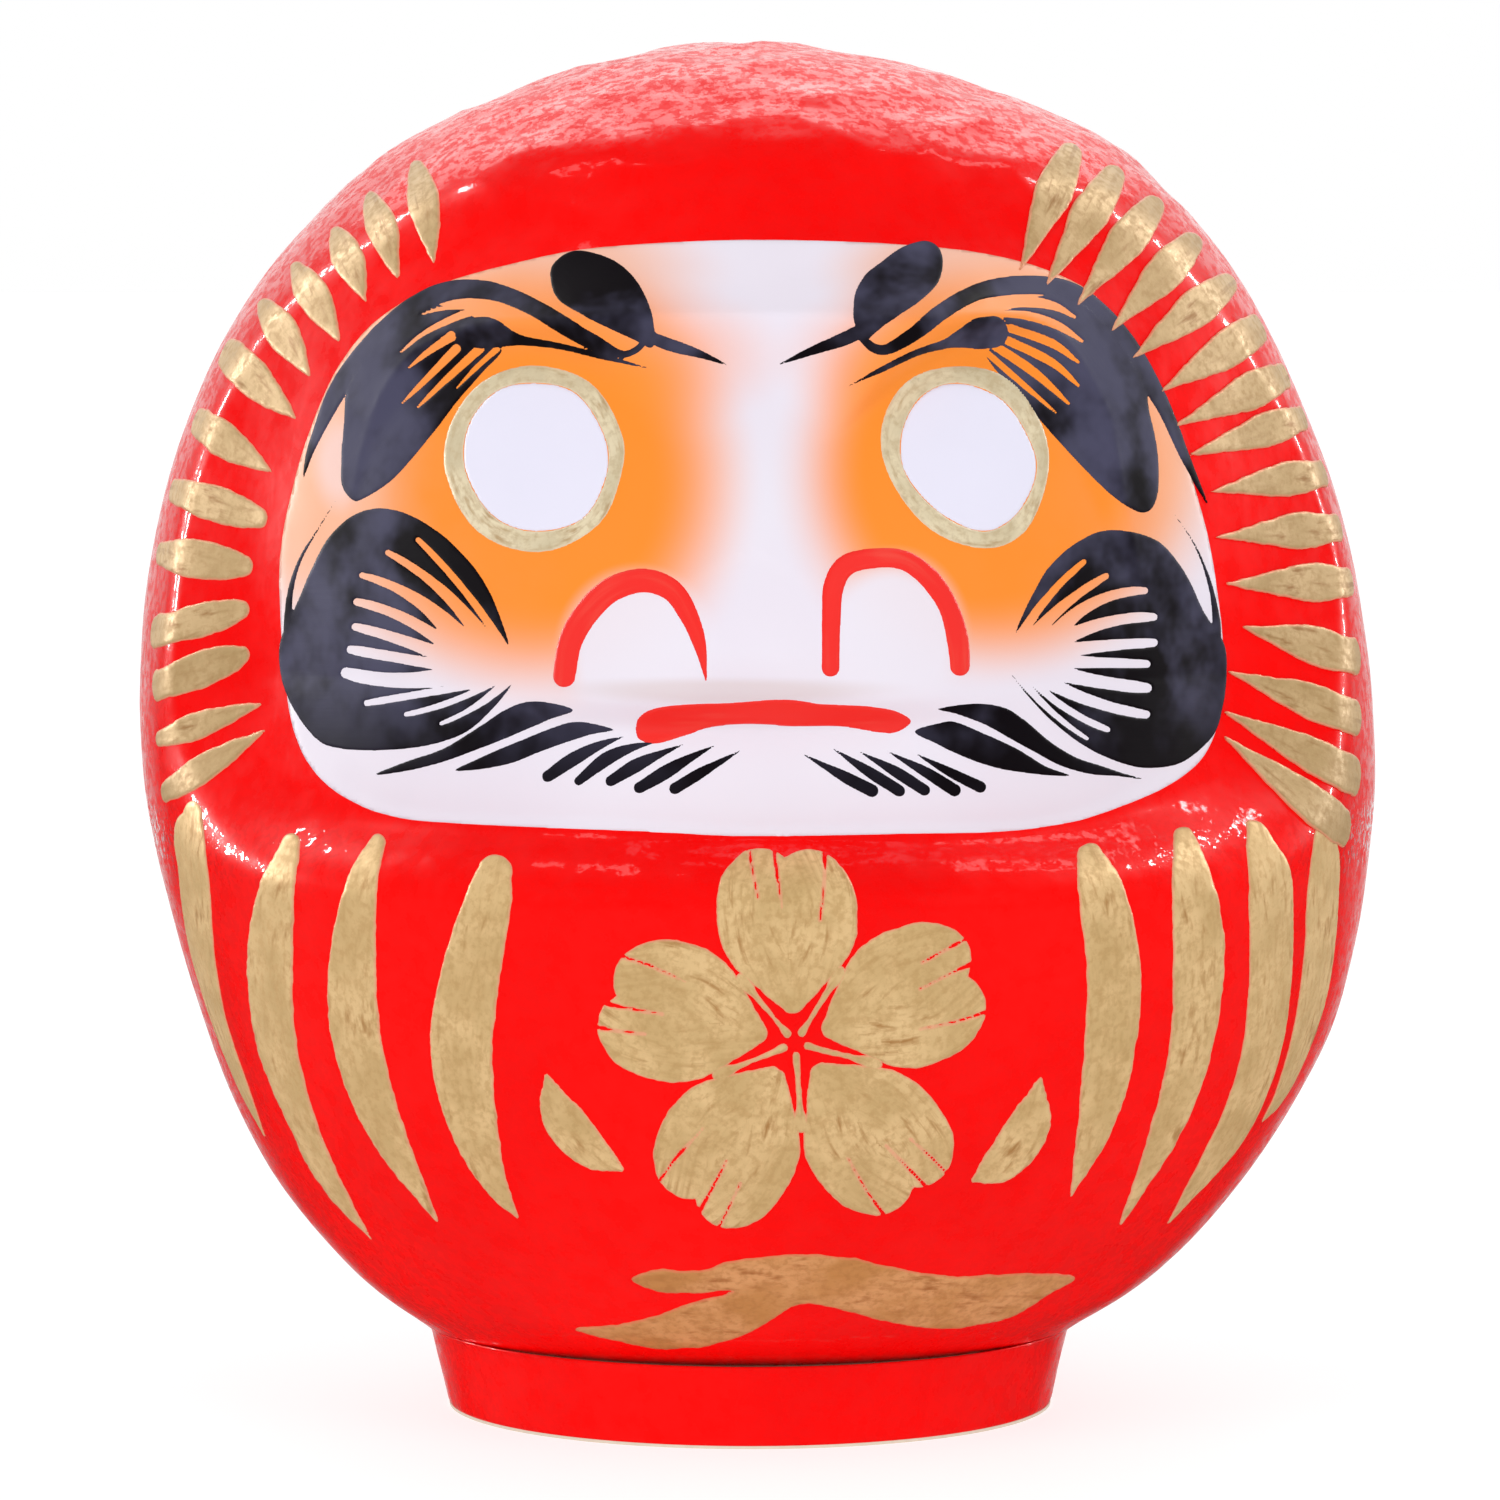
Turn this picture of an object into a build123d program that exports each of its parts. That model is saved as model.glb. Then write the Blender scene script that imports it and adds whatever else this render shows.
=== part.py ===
from build123d import *
import os

# Daruma doll: a hollow paper shell with a hooded face, glued on a clay foot.
# Millimetres. +Z is up, the doll faces -Y, and the origin is the centre of the foot's underside.
# The shell and the strip on its back are modelled round, and flattened front to back at the end,
# so y values in them are the finished ones divided by depth_share.

# Driving dimensions
height = 180.0
width = 163.0
depth_share = 0.94  # the doll's depth over its width
wall = 2.5  # pasted paper, several sheets thick
strip_paper = 0.4  # one sheet of thick paper
band_paper = 0.6

# Foot: a pressed clay disc that tapers down, with a spigot that plugs the shell's floor opening
foot_top = 11.0
foot_top_radius = 42.4
foot_bottom_radius = 40.0
spigot_radius = 28.0
spigot_height = 6.0
spigot_gap = 0.25  # the glue line round the spigot
spigot_chamfer = 1.0

# The slit through which the shell comes off its wooden mould, and the strip pasted over it
slit_width = 0.5
slit_low = foot_top + 9.0
slit_high = height - 12.0
strip_width = 14.0
strip_lap = 3.0  # how far the strip runs past each end of the slit

# Body outline: shares of the half width and of the body's height above the foot
BODY_OUTLINE = [
    (0.53, 0.0),
    (0.66, 0.045),
    (0.818, 0.139),
    (0.935, 0.265),
    (1.0, 0.452),
    (0.953, 0.64),
    (0.817, 0.797),
    (0.617, 0.906),
    (0.35, 0.969),
    (0.12, 0.996),
    (0.0, 1.0),
]

# Hood opening: right halves (x, z) of three outlines, from the back of the opening to its mouth
FACE_EDGE = [(0, 156), (29, 153.5), (50, 142.5), (60, 111), (56, 92), (38, 88), (0, 87)]
HOOD_RIDGE = [(0, 163), (34, 160), (62, 141), (75, 108), (69, 90), (42, 87), (0, 86)]
HOOD_MOUTH = [(0, 164), (36, 161), (66, 142), (80, 108), (74, 80), (44, 76), (0, 75)]
face_edge_y = -30.0
ridge_y = -33.0
mouth_y = -86.0

# Face: a barrel nearly coaxial with the body
face_axis_y = 1.0
face_mid_radius = 71.5
face_mid_z = 96.0
face_top_radius = 55.0
face_top_z = 160.0

# Nose and upper lip: one low mound
nose_half_size = (25.0, 10.0, 18.0)
nose_centre = (0.0, -65.0, 110.0)


def body_outline(inset):
    """The points of the body's outline, with every surface moved in by inset."""
    low = foot_top + inset
    tall = height - inset - low
    half_width = width / 2 - inset
    return [(half_width * r, low + tall * z) for r, z in BODY_OUTLINE]


def round_egg(inset):
    """The doll's body before the face is cut in."""
    points = body_outline(inset)
    with BuildPart() as egg:
        with BuildSketch(Plane.XZ):
            with BuildLine():
                Spline(*points)
                Polyline(points[-1], (0, points[0][1]), points[0])
            make_face()
        revolve(axis=Axis.Z)
    return egg.part


def closed_outline(half, grow):
    """Draws the left-right symmetrical closed curve through half's points, grown by grow."""
    middle = (half[0][1] + half[-1][1]) / 2
    reach = half[0][1] - middle
    widest = max(x for x, z in half)
    wide = 1 + grow / widest
    tall = 1 + grow / reach
    right = [(x * wide, middle + (z - middle) * tall) for x, z in half]
    left = [(-x, z) for x, z in reversed(right[1:-1])]
    Spline(*right, *left, periodic=True)


def face_barrel(inset):
    """The face's own surface, filled in behind."""
    mid_radius = face_mid_radius - inset
    top = (face_top_radius - inset, face_top_z)
    bottom = (face_top_radius - inset, 2 * face_mid_z - face_top_z)
    with BuildPart() as barrel:
        with BuildSketch(Plane.XZ.offset(-face_axis_y)):
            with BuildLine():
                ThreePointArc(bottom, (mid_radius, face_mid_z), top)
                Polyline(top, (0, top[1]), (0, bottom[1]), bottom)
            make_face()
        revolve(axis=Axis((0, face_axis_y, 0), (0, 0, 1)))
    return barrel.part


def hood_opening(inset):
    """What the hood's opening takes out of the body, in front of the face."""
    barrel = face_barrel(inset)
    outlines = [(FACE_EDGE, face_edge_y), (HOOD_RIDGE, ridge_y), (HOOD_MOUTH, mouth_y)]
    with BuildPart() as opening:
        for back, front in zip(outlines, outlines[1:]):
            for outline, y in (back, front):
                with BuildSketch(Plane.XZ.offset(-y)):
                    with BuildLine():
                        closed_outline(outline, inset)
                    make_face()
            loft()
        add(barrel, mode=Mode.SUBTRACT)
    return opening.part


def nose_mound(inset):
    """The low mound that carries the nose and upper lip."""
    with BuildPart() as nose:
        Sphere(1)
        scale(by=tuple(size - inset for size in nose_half_size))
    return nose.part.moved(Location(nose_centre))


def hooded_form(inset):
    """The doll's outside, moved in by inset: body, less the hood's opening, plus the nose."""
    egg = round_egg(inset)
    opening = hood_opening(inset)
    nose = nose_mound(inset)
    with BuildPart() as form:
        add(egg)
        add(opening, mode=Mode.SUBTRACT)
        add(nose)
    return form.part


def foot_radius(z):
    """The foot's outer radius at height z."""
    return foot_bottom_radius + (foot_top_radius - foot_bottom_radius) * z / foot_top


os.makedirs("parts", exist_ok=True)

# Body shell: hollow, open at its floor and slit down its back
outside = hooded_form(0)
inside = hooded_form(wall)
opening_radius = spigot_radius + spigot_gap
slit_height = slit_high - slit_low
with BuildPart() as body_shell:
    add(outside)
    add(inside, mode=Mode.SUBTRACT)
    with BuildSketch(Plane.XY.offset(foot_top)):
        Ellipse(opening_radius, opening_radius / depth_share)
    extrude(amount=wall, mode=Mode.SUBTRACT)
    with Locations((0, width / 2, slit_low + slit_height / 2)):
        Box(slit_width, width, slit_height, mode=Mode.SUBTRACT)
    scale(by=(1, depth_share, 1))
body_shell.part.label = "body_shell"
export_step(body_shell.part, "parts/body_shell.step")

# Back seam strip: pasted over the slit, lying on the body's back
body = round_egg(0)
strip_low = slit_low - strip_lap
strip_height = slit_high + strip_lap - strip_low
with BuildPart() as back_seam_strip:
    add(round_egg(-strip_paper))
    with Locations((0, width / 2, strip_low + strip_height / 2)):
        Box(strip_width, width, strip_height, mode=Mode.INTERSECT)
    add(body, mode=Mode.SUBTRACT)
    scale(by=(1, depth_share, 1))
back_seam_strip.part.label = "back_seam_strip"
export_step(back_seam_strip.part, "parts/back_seam_strip.step")

# Clay weight: the disc, and the spigot that plugs the shell
clay_low = strip_paper
spigot_top = foot_top + spigot_height
with BuildPart() as clay_weight:
    with BuildSketch(Plane.XZ):
        with BuildLine():
            Polyline(
                (0, clay_low),
                (foot_radius(clay_low) - band_paper, clay_low),
                (foot_radius(foot_top) - band_paper, foot_top),
                (spigot_radius, foot_top),
                (spigot_radius, spigot_top),
                (0, spigot_top),
                close=True,
            )
        make_face()
    revolve(axis=Axis.Z)
    chamfer(clay_weight.edges().group_by(Axis.Z)[-1], length=spigot_chamfer)
clay_weight.part.label = "clay_weight"
export_step(clay_weight.part, "parts/clay_weight.step")

# Foot band: the paper wrapped round the clay's edge
with BuildPart() as foot_band:
    with BuildSketch(Plane.XZ):
        with BuildLine():
            Polyline(
                (foot_radius(clay_low) - band_paper, clay_low),
                (foot_radius(clay_low), clay_low),
                (foot_radius(foot_top), foot_top),
                (foot_radius(foot_top) - band_paper, foot_top),
                close=True,
            )
        make_face()
    revolve(axis=Axis.Z)
foot_band.part.label = "foot_band"
export_step(foot_band.part, "parts/foot_band.step")

# Underside paper: the disc pasted under clay and band
with BuildPart() as underside_paper:
    with BuildSketch(Plane.XY):
        Circle(foot_bottom_radius)
    extrude(amount=clay_low)
underside_paper.part.label = "underside_paper"
export_step(underside_paper.part, "parts/underside_paper.step")
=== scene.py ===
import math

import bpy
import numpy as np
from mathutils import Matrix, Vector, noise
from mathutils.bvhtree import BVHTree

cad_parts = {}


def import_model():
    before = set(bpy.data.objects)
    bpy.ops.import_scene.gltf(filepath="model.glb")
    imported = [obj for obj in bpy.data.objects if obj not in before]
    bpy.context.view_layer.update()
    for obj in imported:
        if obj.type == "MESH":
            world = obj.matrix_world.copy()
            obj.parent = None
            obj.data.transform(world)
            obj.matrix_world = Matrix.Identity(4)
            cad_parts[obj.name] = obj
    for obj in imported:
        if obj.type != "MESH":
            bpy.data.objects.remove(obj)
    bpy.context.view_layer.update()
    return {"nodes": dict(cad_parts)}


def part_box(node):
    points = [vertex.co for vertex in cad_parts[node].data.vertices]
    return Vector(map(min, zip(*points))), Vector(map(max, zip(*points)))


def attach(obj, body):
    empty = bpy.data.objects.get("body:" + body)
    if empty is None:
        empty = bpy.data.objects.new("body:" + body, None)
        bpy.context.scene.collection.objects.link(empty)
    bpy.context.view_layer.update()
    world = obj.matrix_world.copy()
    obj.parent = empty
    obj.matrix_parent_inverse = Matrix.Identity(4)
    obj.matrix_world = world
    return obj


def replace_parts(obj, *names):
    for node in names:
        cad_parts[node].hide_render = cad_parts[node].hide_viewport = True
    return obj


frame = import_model()

# The looks of the daruma doll: its sculpted paper shell, the paint on it, and the studio.
# Lengths are millimetres and become metres in build_mesh(). The doll faces -Y.
# The paint is drawn on an upright sheet through the doll's axis, square to the camera's view:
# a point on it is (x, v), with v counted up the sheet from the foot, and a brush stroke's point is
# (x, v, half width). Each drawing is then cast from the camera onto the shell.

MM = 0.001


# ---------------------------------------------------------------- the doll's dimensions

shell_low, shell_high = (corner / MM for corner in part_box("body_shell"))
foot_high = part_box("foot_band")[1] / MM
SHELL_BOTTOM = shell_low.z
SHELL_TOP = shell_high.z
HALF_WIDTH = shell_high.x
DEPTH_SHARE = shell_high.y / shell_high.x
WALL = 2.5
OPENING_RADIUS = 28.25

# The body's outline: shares of its half width and of its height above the foot
BODY_OUTLINE = [
    (0.53, 0.0), (0.66, 0.045), (0.818, 0.139), (0.935, 0.265), (1.0, 0.452), (0.953, 0.64),
    (0.817, 0.797), (0.617, 0.906), (0.35, 0.969), (0.12, 0.996), (0.0, 1.0),
]
# How far the hand-made body leans sideways at each height (height, x)
LEAN = [(11, 0), (30, 1.3), (55, 2.5), (85, 1.2), (127, -0.2), (150, 0.3), (170, 1.0), (180, 0)]

# The hood's ridge and the painted face's edge, on the drawing sheet
RIDGE = [
    (0, 169.7), (21, 169.1), (34.4, 168.3), (43.7, 164.8), (55.9, 153.3), (63.9, 143.5), (70.7, 131.8),
    (75.9, 118.9), (78.6, 107.2), (78.7, 94), (77.2, 82.7), (71.5, 74.8), (60.9, 70.1), (39.7, 68.3),
    (0, 68.3), (-43.7, 69.1), (-62.9, 71.2), (-71.7, 75.4), (-76.2, 83.4), (-77.4, 92.2),
    (-76.9, 103.2), (-75.4, 116.5), (-71.4, 129), (-64.2, 142.7), (-54.8, 152.9), (-45.5, 160.1),
    (-35.7, 165.4), (-20.8, 168.3),
]
FACE_EDGE = [
    (-0.7, 153.5), (-19.9, 152.5), (-30.4, 150.6), (-41, 147.6), (-49, 143.2), (-54.3, 137),
    (-58.2, 128.4), (-60.9, 119.1), (-62.2, 111.2), (-62.1, 103.2), (-61.5, 95.3), (-60.4, 88.7),
    (-58, 83.6), (-53.6, 79.7), (-46.3, 77), (-33.1, 76), (-14.6, 75.2), (0, 74.6), (19.9, 74.9),
    (33.1, 75.2), (42.4, 76.4), (50.3, 79), (56.2, 81.8), (60.2, 85.4), (62.1, 90.7), (62.6, 99.3),
    (61.8, 107.2), (60.7, 113.8), (59.3, 119.1), (57.4, 125.7), (54.9, 133), (51.6, 139),
    (47.6, 144.3), (42.4, 148.2), (33.1, 151.3), (19.9, 152.9),
]
FACE_CENTRE = (0.0, 118.0)  # (x, z) the hood's opening is star-shaped about
FACE_FRONT = 65.0
FACE_FRONT_Z = 100.0
FACE_FALL = 15.0 / 54.0**2  # how fast the face falls back above and below its front
FACE_SIDE_FALL = 31.0
CHIN_SLOPE = 0.2  # how far the face leans forward for each step down from its front
NOSE_HEIGHT = 4.2  # the low mound of nose and upper lip
NOSE_HALF_WIDTH = 27.0
BRIDGE_HEIGHT = 2.2
BRIDGE_HALF_WIDTH = 11.0
FACE_HALF_WIDTH = 61.5
FACE_ROUNDNESS = 2.3
RIDGE_ROUNDING = 2.6
VALLEY_ROUNDING = 2.5

# The view
VIEW_DISTANCE = 1200.0
VIEW_TILT = math.radians(5.0)
SHEET_SPAN = 198.5  # what the picture's width covers on the drawing sheet
SHEET_MIDDLE = 86.0  # the sheet height in the picture's middle
AIM = np.array([0.0, 0.0, 86.9])
SHEET_UP = np.array([0.0, math.sin(VIEW_TILT), math.cos(VIEW_TILT)])
EYE = AIM + VIEW_DISTANCE * np.array([0.0, -math.cos(VIEW_TILT), math.sin(VIEW_TILT)])


# ---------------------------------------------------------------- curves and numbers

def smooth(points, closed=True, steps=6):
    """A Catmull-Rom curve through the points, as a dense polyline. Works on every column."""
    p = np.array(points, float)
    if closed:
        p = np.vstack([p[-1], p, p[0], p[1]])
    else:
        p = np.vstack([2 * p[0] - p[1], p, 2 * p[-1] - p[-2]])
    t = np.linspace(0, 1, steps, endpoint=False)[:, None]
    out = []
    for a, b, c, d in zip(p, p[1:], p[2:], p[3:]):
        out.append(0.5 * (2 * b + (c - a) * t + (2 * a - 5 * b + 4 * c - d) * t**2
                          + (3 * b - a - 3 * c + d) * t**3))
    curve = np.vstack(out)
    return curve if closed else np.vstack([curve, p[-2]])


def smooth_step(x, low, high):
    """0 below low, 1 above high, smooth between."""
    t = np.clip((x - low) / (high - low), 0, 1)
    return t * t * (3 - 2 * t)


def soft_max(a, b, rounding):
    """The larger of a and b, rounded where they cross."""
    h = np.maximum(rounding - np.abs(a - b), 0) / rounding
    return np.maximum(a, b) + h * h * rounding / 4


def soft_min(a, b, rounding):
    """The smaller of a and b, rounded where they cross."""
    return -soft_max(-a, -b, rounding)


def noise_at(points, size, seed=0.0):
    """Smooth noise from -1 to 1 at points in millimetres, with lumps of about the given size."""
    shift = Vector((seed, 2 * seed, -seed))
    return np.array([noise.noise(Vector(p) / size + shift) for p in points])


# ---------------------------------------------------------------- the body's form

def body_profile():
    """(heights, radii) of the body from the foot up to the crown."""
    mirrored = BODY_OUTLINE + [(-0.12, 0.996)]
    curve = smooth(mirrored, closed=False, steps=24)[: -24]
    radii = curve[:, 0] * HALF_WIDTH
    heights = SHELL_BOTTOM + curve[:, 1] * (SHELL_TOP - SHELL_BOTTOM)
    return np.maximum.accumulate(heights), np.maximum(radii, 0)


PROFILE_Z, PROFILE_R = body_profile()
LEAN_CURVE = smooth(LEAN, closed=False)


def radius_at(z):
    return np.interp(z, PROFILE_Z, PROFILE_R)


def lean_at(z):
    return np.interp(z, LEAN_CURVE[:, 0], LEAN_CURVE[:, 1])


def egg_y(x, z):
    """The front of the plain body, before the hood's opening."""
    return -DEPTH_SHARE * np.sqrt(np.maximum(radius_at(z) ** 2 - (x - lean_at(z)) ** 2, 0))


def face_y(x, z):
    """The face's own surface: a barrel, and a low mound for the nose and upper lip."""
    barrel = -FACE_FRONT + FACE_FALL * (z - FACE_FRONT_Z) ** 2
    barrel = barrel - CHIN_SLOPE * np.maximum(FACE_FRONT_Z - z, 0)
    barrel = barrel + FACE_SIDE_FALL * np.abs(x / FACE_HALF_WIDTH) ** FACE_ROUNDNESS
    nose = np.exp(-np.abs(x / NOSE_HALF_WIDTH) ** 3.2)
    nose = nose * smooth_step(z, 94.5, 100.5) * (1 - smooth_step(z, 108, 136))
    bridge = np.exp(-(x / BRIDGE_HALF_WIDTH) ** 2)
    bridge = bridge * smooth_step(z, 98, 106) * (1 - smooth_step(z, 125, 150))
    return barrel - NOSE_HEIGHT * nose - BRIDGE_HEIGHT * bridge


def cast(x, v, y):
    """Where the camera's ray through sheet point (x, v) has depth y, as (x, z)."""
    point = AIM + np.outer(v - SHEET_MIDDLE, SHEET_UP)
    point[:, 0] += x
    ray = point - EYE
    t = (y - EYE[1]) / ray[:, 1]
    return EYE[0] + t * ray[:, 0], EYE[2] + t * ray[:, 2]


def cast_curve(points, surface):
    """A closed sheet curve cast onto y = surface(x, z): angles about FACE_CENTRE, reaches and ys."""
    curve = smooth(points)
    x, v = curve[:, 0], curve[:, 1]
    y = np.full(len(x), -50.0)
    for _ in range(30):
        px, pz = cast(x, v, y)
        y = 0.5 * y + 0.5 * surface(px, pz)
    angle = np.arctan2(pz - FACE_CENTRE[1], px - FACE_CENTRE[0])
    reach = np.hypot(px - FACE_CENTRE[0], pz - FACE_CENTRE[1])
    order = np.argsort(angle)
    return angle[order], reach[order], y[order]


RIDGE_CURVE = cast_curve(RIDGE, egg_y)
EDGE_CURVE = cast_curve(FACE_EDGE, face_y)


def around(curve, angle):
    """A cast curve's reach and y in each direction."""
    angles, reach, y = curve
    turn = 2 * math.pi
    return np.interp(angle, angles, reach, period=turn), np.interp(angle, angles, y, period=turn)


def front_y(x, z, body):
    """The shell's front: the body's own y, cut back inside the ridge by a bevel down to the face."""
    angle = np.arctan2(z - FACE_CENTRE[1], x - FACE_CENTRE[0])
    reach = np.hypot(x - FACE_CENTRE[0], z - FACE_CENTRE[1])
    ridge_reach, ridge_depth = around(RIDGE_CURVE, angle)
    edge_reach, edge_depth = around(EDGE_CURVE, angle)
    share = np.clip((reach - edge_reach) / (ridge_reach - edge_reach), -0.6, 3)
    bevel = edge_depth + (ridge_depth - edge_depth) * share
    inside = soft_min(face_y(x, z), bevel, VALLEY_ROUNDING)
    belly = smooth_step(-np.sin(angle), 0.2, 0.6)
    y = soft_max(body, inside, RIDGE_ROUNDING * (1 + 1.6 * belly))
    return np.where(share < 2.9, y, body)


# ---------------------------------------------------------------- the shell's mesh

FRONT_STEP = 0.5  # degrees between the mesh's columns in front
BACK_STEP = 1.5
FRONT_REACH = 102.0  # degrees round from the nose
ROW_STEP = 0.85


def shell_grid():
    """Rows of points over the outside, bottom to top, and one crown point."""
    front = np.arange(-FRONT_REACH, FRONT_REACH, FRONT_STEP)
    back = np.arange(FRONT_REACH, 360 - FRONT_REACH, BACK_STEP)
    turn = np.radians(np.concatenate([front, back]))
    travel = np.concatenate([[0], np.cumsum(np.hypot(np.diff(PROFILE_Z), np.diff(PROFILE_R)))])
    stops = np.linspace(0, travel[-1], int(travel[-1] / ROW_STEP))[:-1]
    z = np.interp(stops, travel, PROFILE_Z)
    r = np.interp(stops, travel, PROFILE_R)
    x = lean_at(z)[:, None] + np.outer(r, np.sin(turn))
    y = -DEPTH_SHARE * np.outer(r, np.cos(turn))
    zz = np.repeat(z[:, None], len(turn), axis=1)
    y = np.where(y < -5, front_y(x, zz, y), y)
    return np.stack([x, y, zz], axis=2)


def grid_normals(grid, crown):
    """Outward normals of the grid's points."""
    along = np.roll(grid, -1, axis=1) - np.roll(grid, 1, axis=1)
    padded = np.concatenate([grid[:1], grid, np.broadcast_to(crown, grid[:1].shape)])
    up = padded[2:] - padded[:-2]
    normal = np.cross(along, up)
    return normal / np.linalg.norm(normal, axis=2, keepdims=True)


def hand_made(grid, normals):
    """Moves the points along their normals, as uneven layers of pasted paper would."""
    points = grid.reshape(-1, 3)
    lumps = 0.38 * noise_at(points, 26.0, 3.1) + 0.16 * noise_at(points, 11.0, 7.7)
    high = smooth_step(points[:, 2], 146, 170)
    ridges = 1 - np.abs(noise_at(points * (1, 1, 2.2), 13.0, 1.3)) * 2
    wrinkles = high * (0.42 * ridges + 0.2 * noise_at(points, 5.0, 5.2))
    shift = (lumps + wrinkles) * smooth_step(points[:, 2], SHELL_BOTTOM, SHELL_BOTTOM + 6)
    return grid + (shift.reshape(grid.shape[:2]))[:, :, None] * normals


def ring_faces(rows, columns, start=0):
    """Quads between successive rings of points."""
    i = np.arange(rows - 1)[:, None] * columns + start
    j = np.arange(columns)[None, :]
    k = (j + 1) % columns
    return np.stack([i + j, i + k, i + k + columns, i + j + columns], axis=2).reshape(-1, 4)


def build_mesh(name, points, faces, material):
    """A smooth-shaded mesh object from points in millimetres, riding on the doll."""
    mesh = bpy.data.meshes.new(name)
    mesh.from_pydata((np.asarray(points) * MM).tolist(), [], faces)
    mesh.validate()
    mesh.shade_smooth()
    mesh.materials.append(material)
    piece = bpy.data.objects.new(name, mesh)
    bpy.context.scene.collection.objects.link(piece)
    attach(piece, "root")
    return piece


def shell_surface():
    """The outside's points and triangles-and-quads, the crown last."""
    grid = shell_grid()
    crown = np.array([lean_at(SHELL_TOP), 0.0, SHELL_TOP])
    grid = hand_made(grid, grid_normals(grid, crown))
    return grid, crown


def shell_mesh(grid, crown, material):
    """The hollow shell: outside, inside, and the floor with its opening."""
    rows, columns = grid.shape[:2]
    normals = grid_normals(grid, crown)
    heights = grid[:, :, 2].mean(axis=1)
    kept = [i for i in range(0, rows, 4) if heights[i] > SHELL_BOTTOM + 2 * WALL]
    inner = (grid - WALL * normals)[kept]
    turn = np.arctan2(grid[0, :, 0], -grid[0, :, 1])
    rim = OPENING_RADIUS * np.stack([np.sin(turn), -np.cos(turn), 0 * turn], axis=1)
    low_rim = rim + (0, 0, SHELL_BOTTOM)
    high_rim = low_rim + (0, 0, WALL)
    rings = np.concatenate([inner[::-1], [high_rim], [low_rim], grid])
    points = np.vstack([rings.reshape(-1, 3), crown, crown - (0, 0, WALL)])
    faces = ring_faces(len(rings), columns).tolist()
    last = (len(rings) - 1) * columns
    top, under = len(points) - 2, len(points) - 1
    for j in range(columns):
        k = (j + 1) % columns
        faces.append((last + j, last + k, top))
        faces.append((k, j, under))
    return build_mesh("daruma_shell", points, faces, material)


FOOT_LOW_RADIUS = 40.0
FOOT_HIGH_RADIUS = foot_high.x
FOOT_TOP = foot_high.z
BAND_PAPER = 0.6
LAP_ANGLE = 33.0  # degrees round from the front to where the band's ends overlap


def foot_mesh(material):
    """The paper band round the foot: a rolled lower edge, soft lumps and an overlapping end."""
    turn = np.radians(np.arange(0, 360, 0.75))
    profile = []
    for z in (0.0, 0.15, 0.45, 1.0, 2.0, 3.3, 4.6, 5.9, 7.2, 8.5, 9.6, 10.3, 10.75, FOOT_TOP + 0.1):
        roll = 1.0 - min(z, 1.0)
        flare = 0.5 * max(0.0, (z - 9.6) / 1.4) ** 2
        radius = FOOT_LOW_RADIUS + (FOOT_HIGH_RADIUS - FOOT_LOW_RADIUS) * z / FOOT_TOP
        profile.append((radius - 0.5 * roll * roll + flare, z))
    rings = []
    for radius, z in profile:
        ring = np.column_stack([radius * np.sin(turn), -radius * np.cos(turn), np.full(len(turn), z)])
        outward = ring * (1, 1, 0) / radius
        held = min(1.0, z / 1.5) * min(1.0, (FOOT_TOP - z + 0.4) / 2)
        lumps = 0.28 * noise_at(ring, 17.0, 9.4) + 0.1 * noise_at(ring, 5.0, 2.8)
        lap = smooth_step(np.degrees(turn), LAP_ANGLE - 0.7, LAP_ANGLE)
        lap = 0.35 * lap * (1 - smooth_step(np.degrees(turn), LAP_ANGLE, LAP_ANGLE + 40))
        rings.append(ring + outward * ((lumps + lap) * held)[:, None])
    outside = np.array(rings)
    sideways = outside * (1, 1, 0)
    inside = outside - BAND_PAPER * sideways / np.linalg.norm(sideways, axis=2, keepdims=True)
    points = np.concatenate([outside, inside[::-1], outside[:1]])
    columns = len(turn)
    faces = ring_faces(len(points), columns) % ((len(points) - 1) * columns)
    points = points[:-1].reshape(-1, 3)
    return build_mesh("paper_foot_band", points, faces.tolist(), material)


# ---------------------------------------------------------------- drawings on the sheet

def chain_distance(p, chain):
    """Signed distance to a chain of round brush prints (x, v, half width), with brush coordinates."""
    best = np.full(len(p), 1e9)
    along = np.zeros(len(p))
    across = np.zeros(len(p))
    travelled = 0.0
    for a, b in zip(chain, chain[1:]):
        step = b[:2] - a[:2]
        length = max(math.hypot(*step), 1e-6)
        u = step / length
        rel = p - a[:2]
        s = np.clip(rel @ u, 0, length)
        side = rel[:, 0] * u[1] - rel[:, 1] * u[0]
        away = np.hypot(rel[:, 0] - s * u[0], rel[:, 1] - s * u[1])
        d = away - (a[2] + (b[2] - a[2]) * s / length)
        closer = d < best
        best = np.where(closer, d, best)
        along = np.where(closer, travelled + s, along)
        across = np.where(closer, side, across)
        travelled += length
    return best, along, across


def outline_distance(p, outline):
    """Signed distance to a closed outline, negative inside."""
    best = np.full(len(p), 1e9)
    inside = np.zeros(len(p), bool)
    for a, b in zip(outline, np.roll(outline, -1, axis=0)):
        step = b - a
        rel = p - a
        s = np.clip(rel @ step / max(step @ step, 1e-9), 0, 1)
        best = np.minimum(best, np.hypot(rel[:, 0] - s * step[0], rel[:, 1] - s * step[1]))
        crosses = (a[1] > p[:, 1]) != (b[1] > p[:, 1])
        safe = step[1] if abs(step[1]) > 1e-9 else 1e-9
        inside ^= crosses & (p[:, 0] < a[0] + rel[:, 1] * step[0] / safe)
    return np.where(inside, -best, best)


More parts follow.
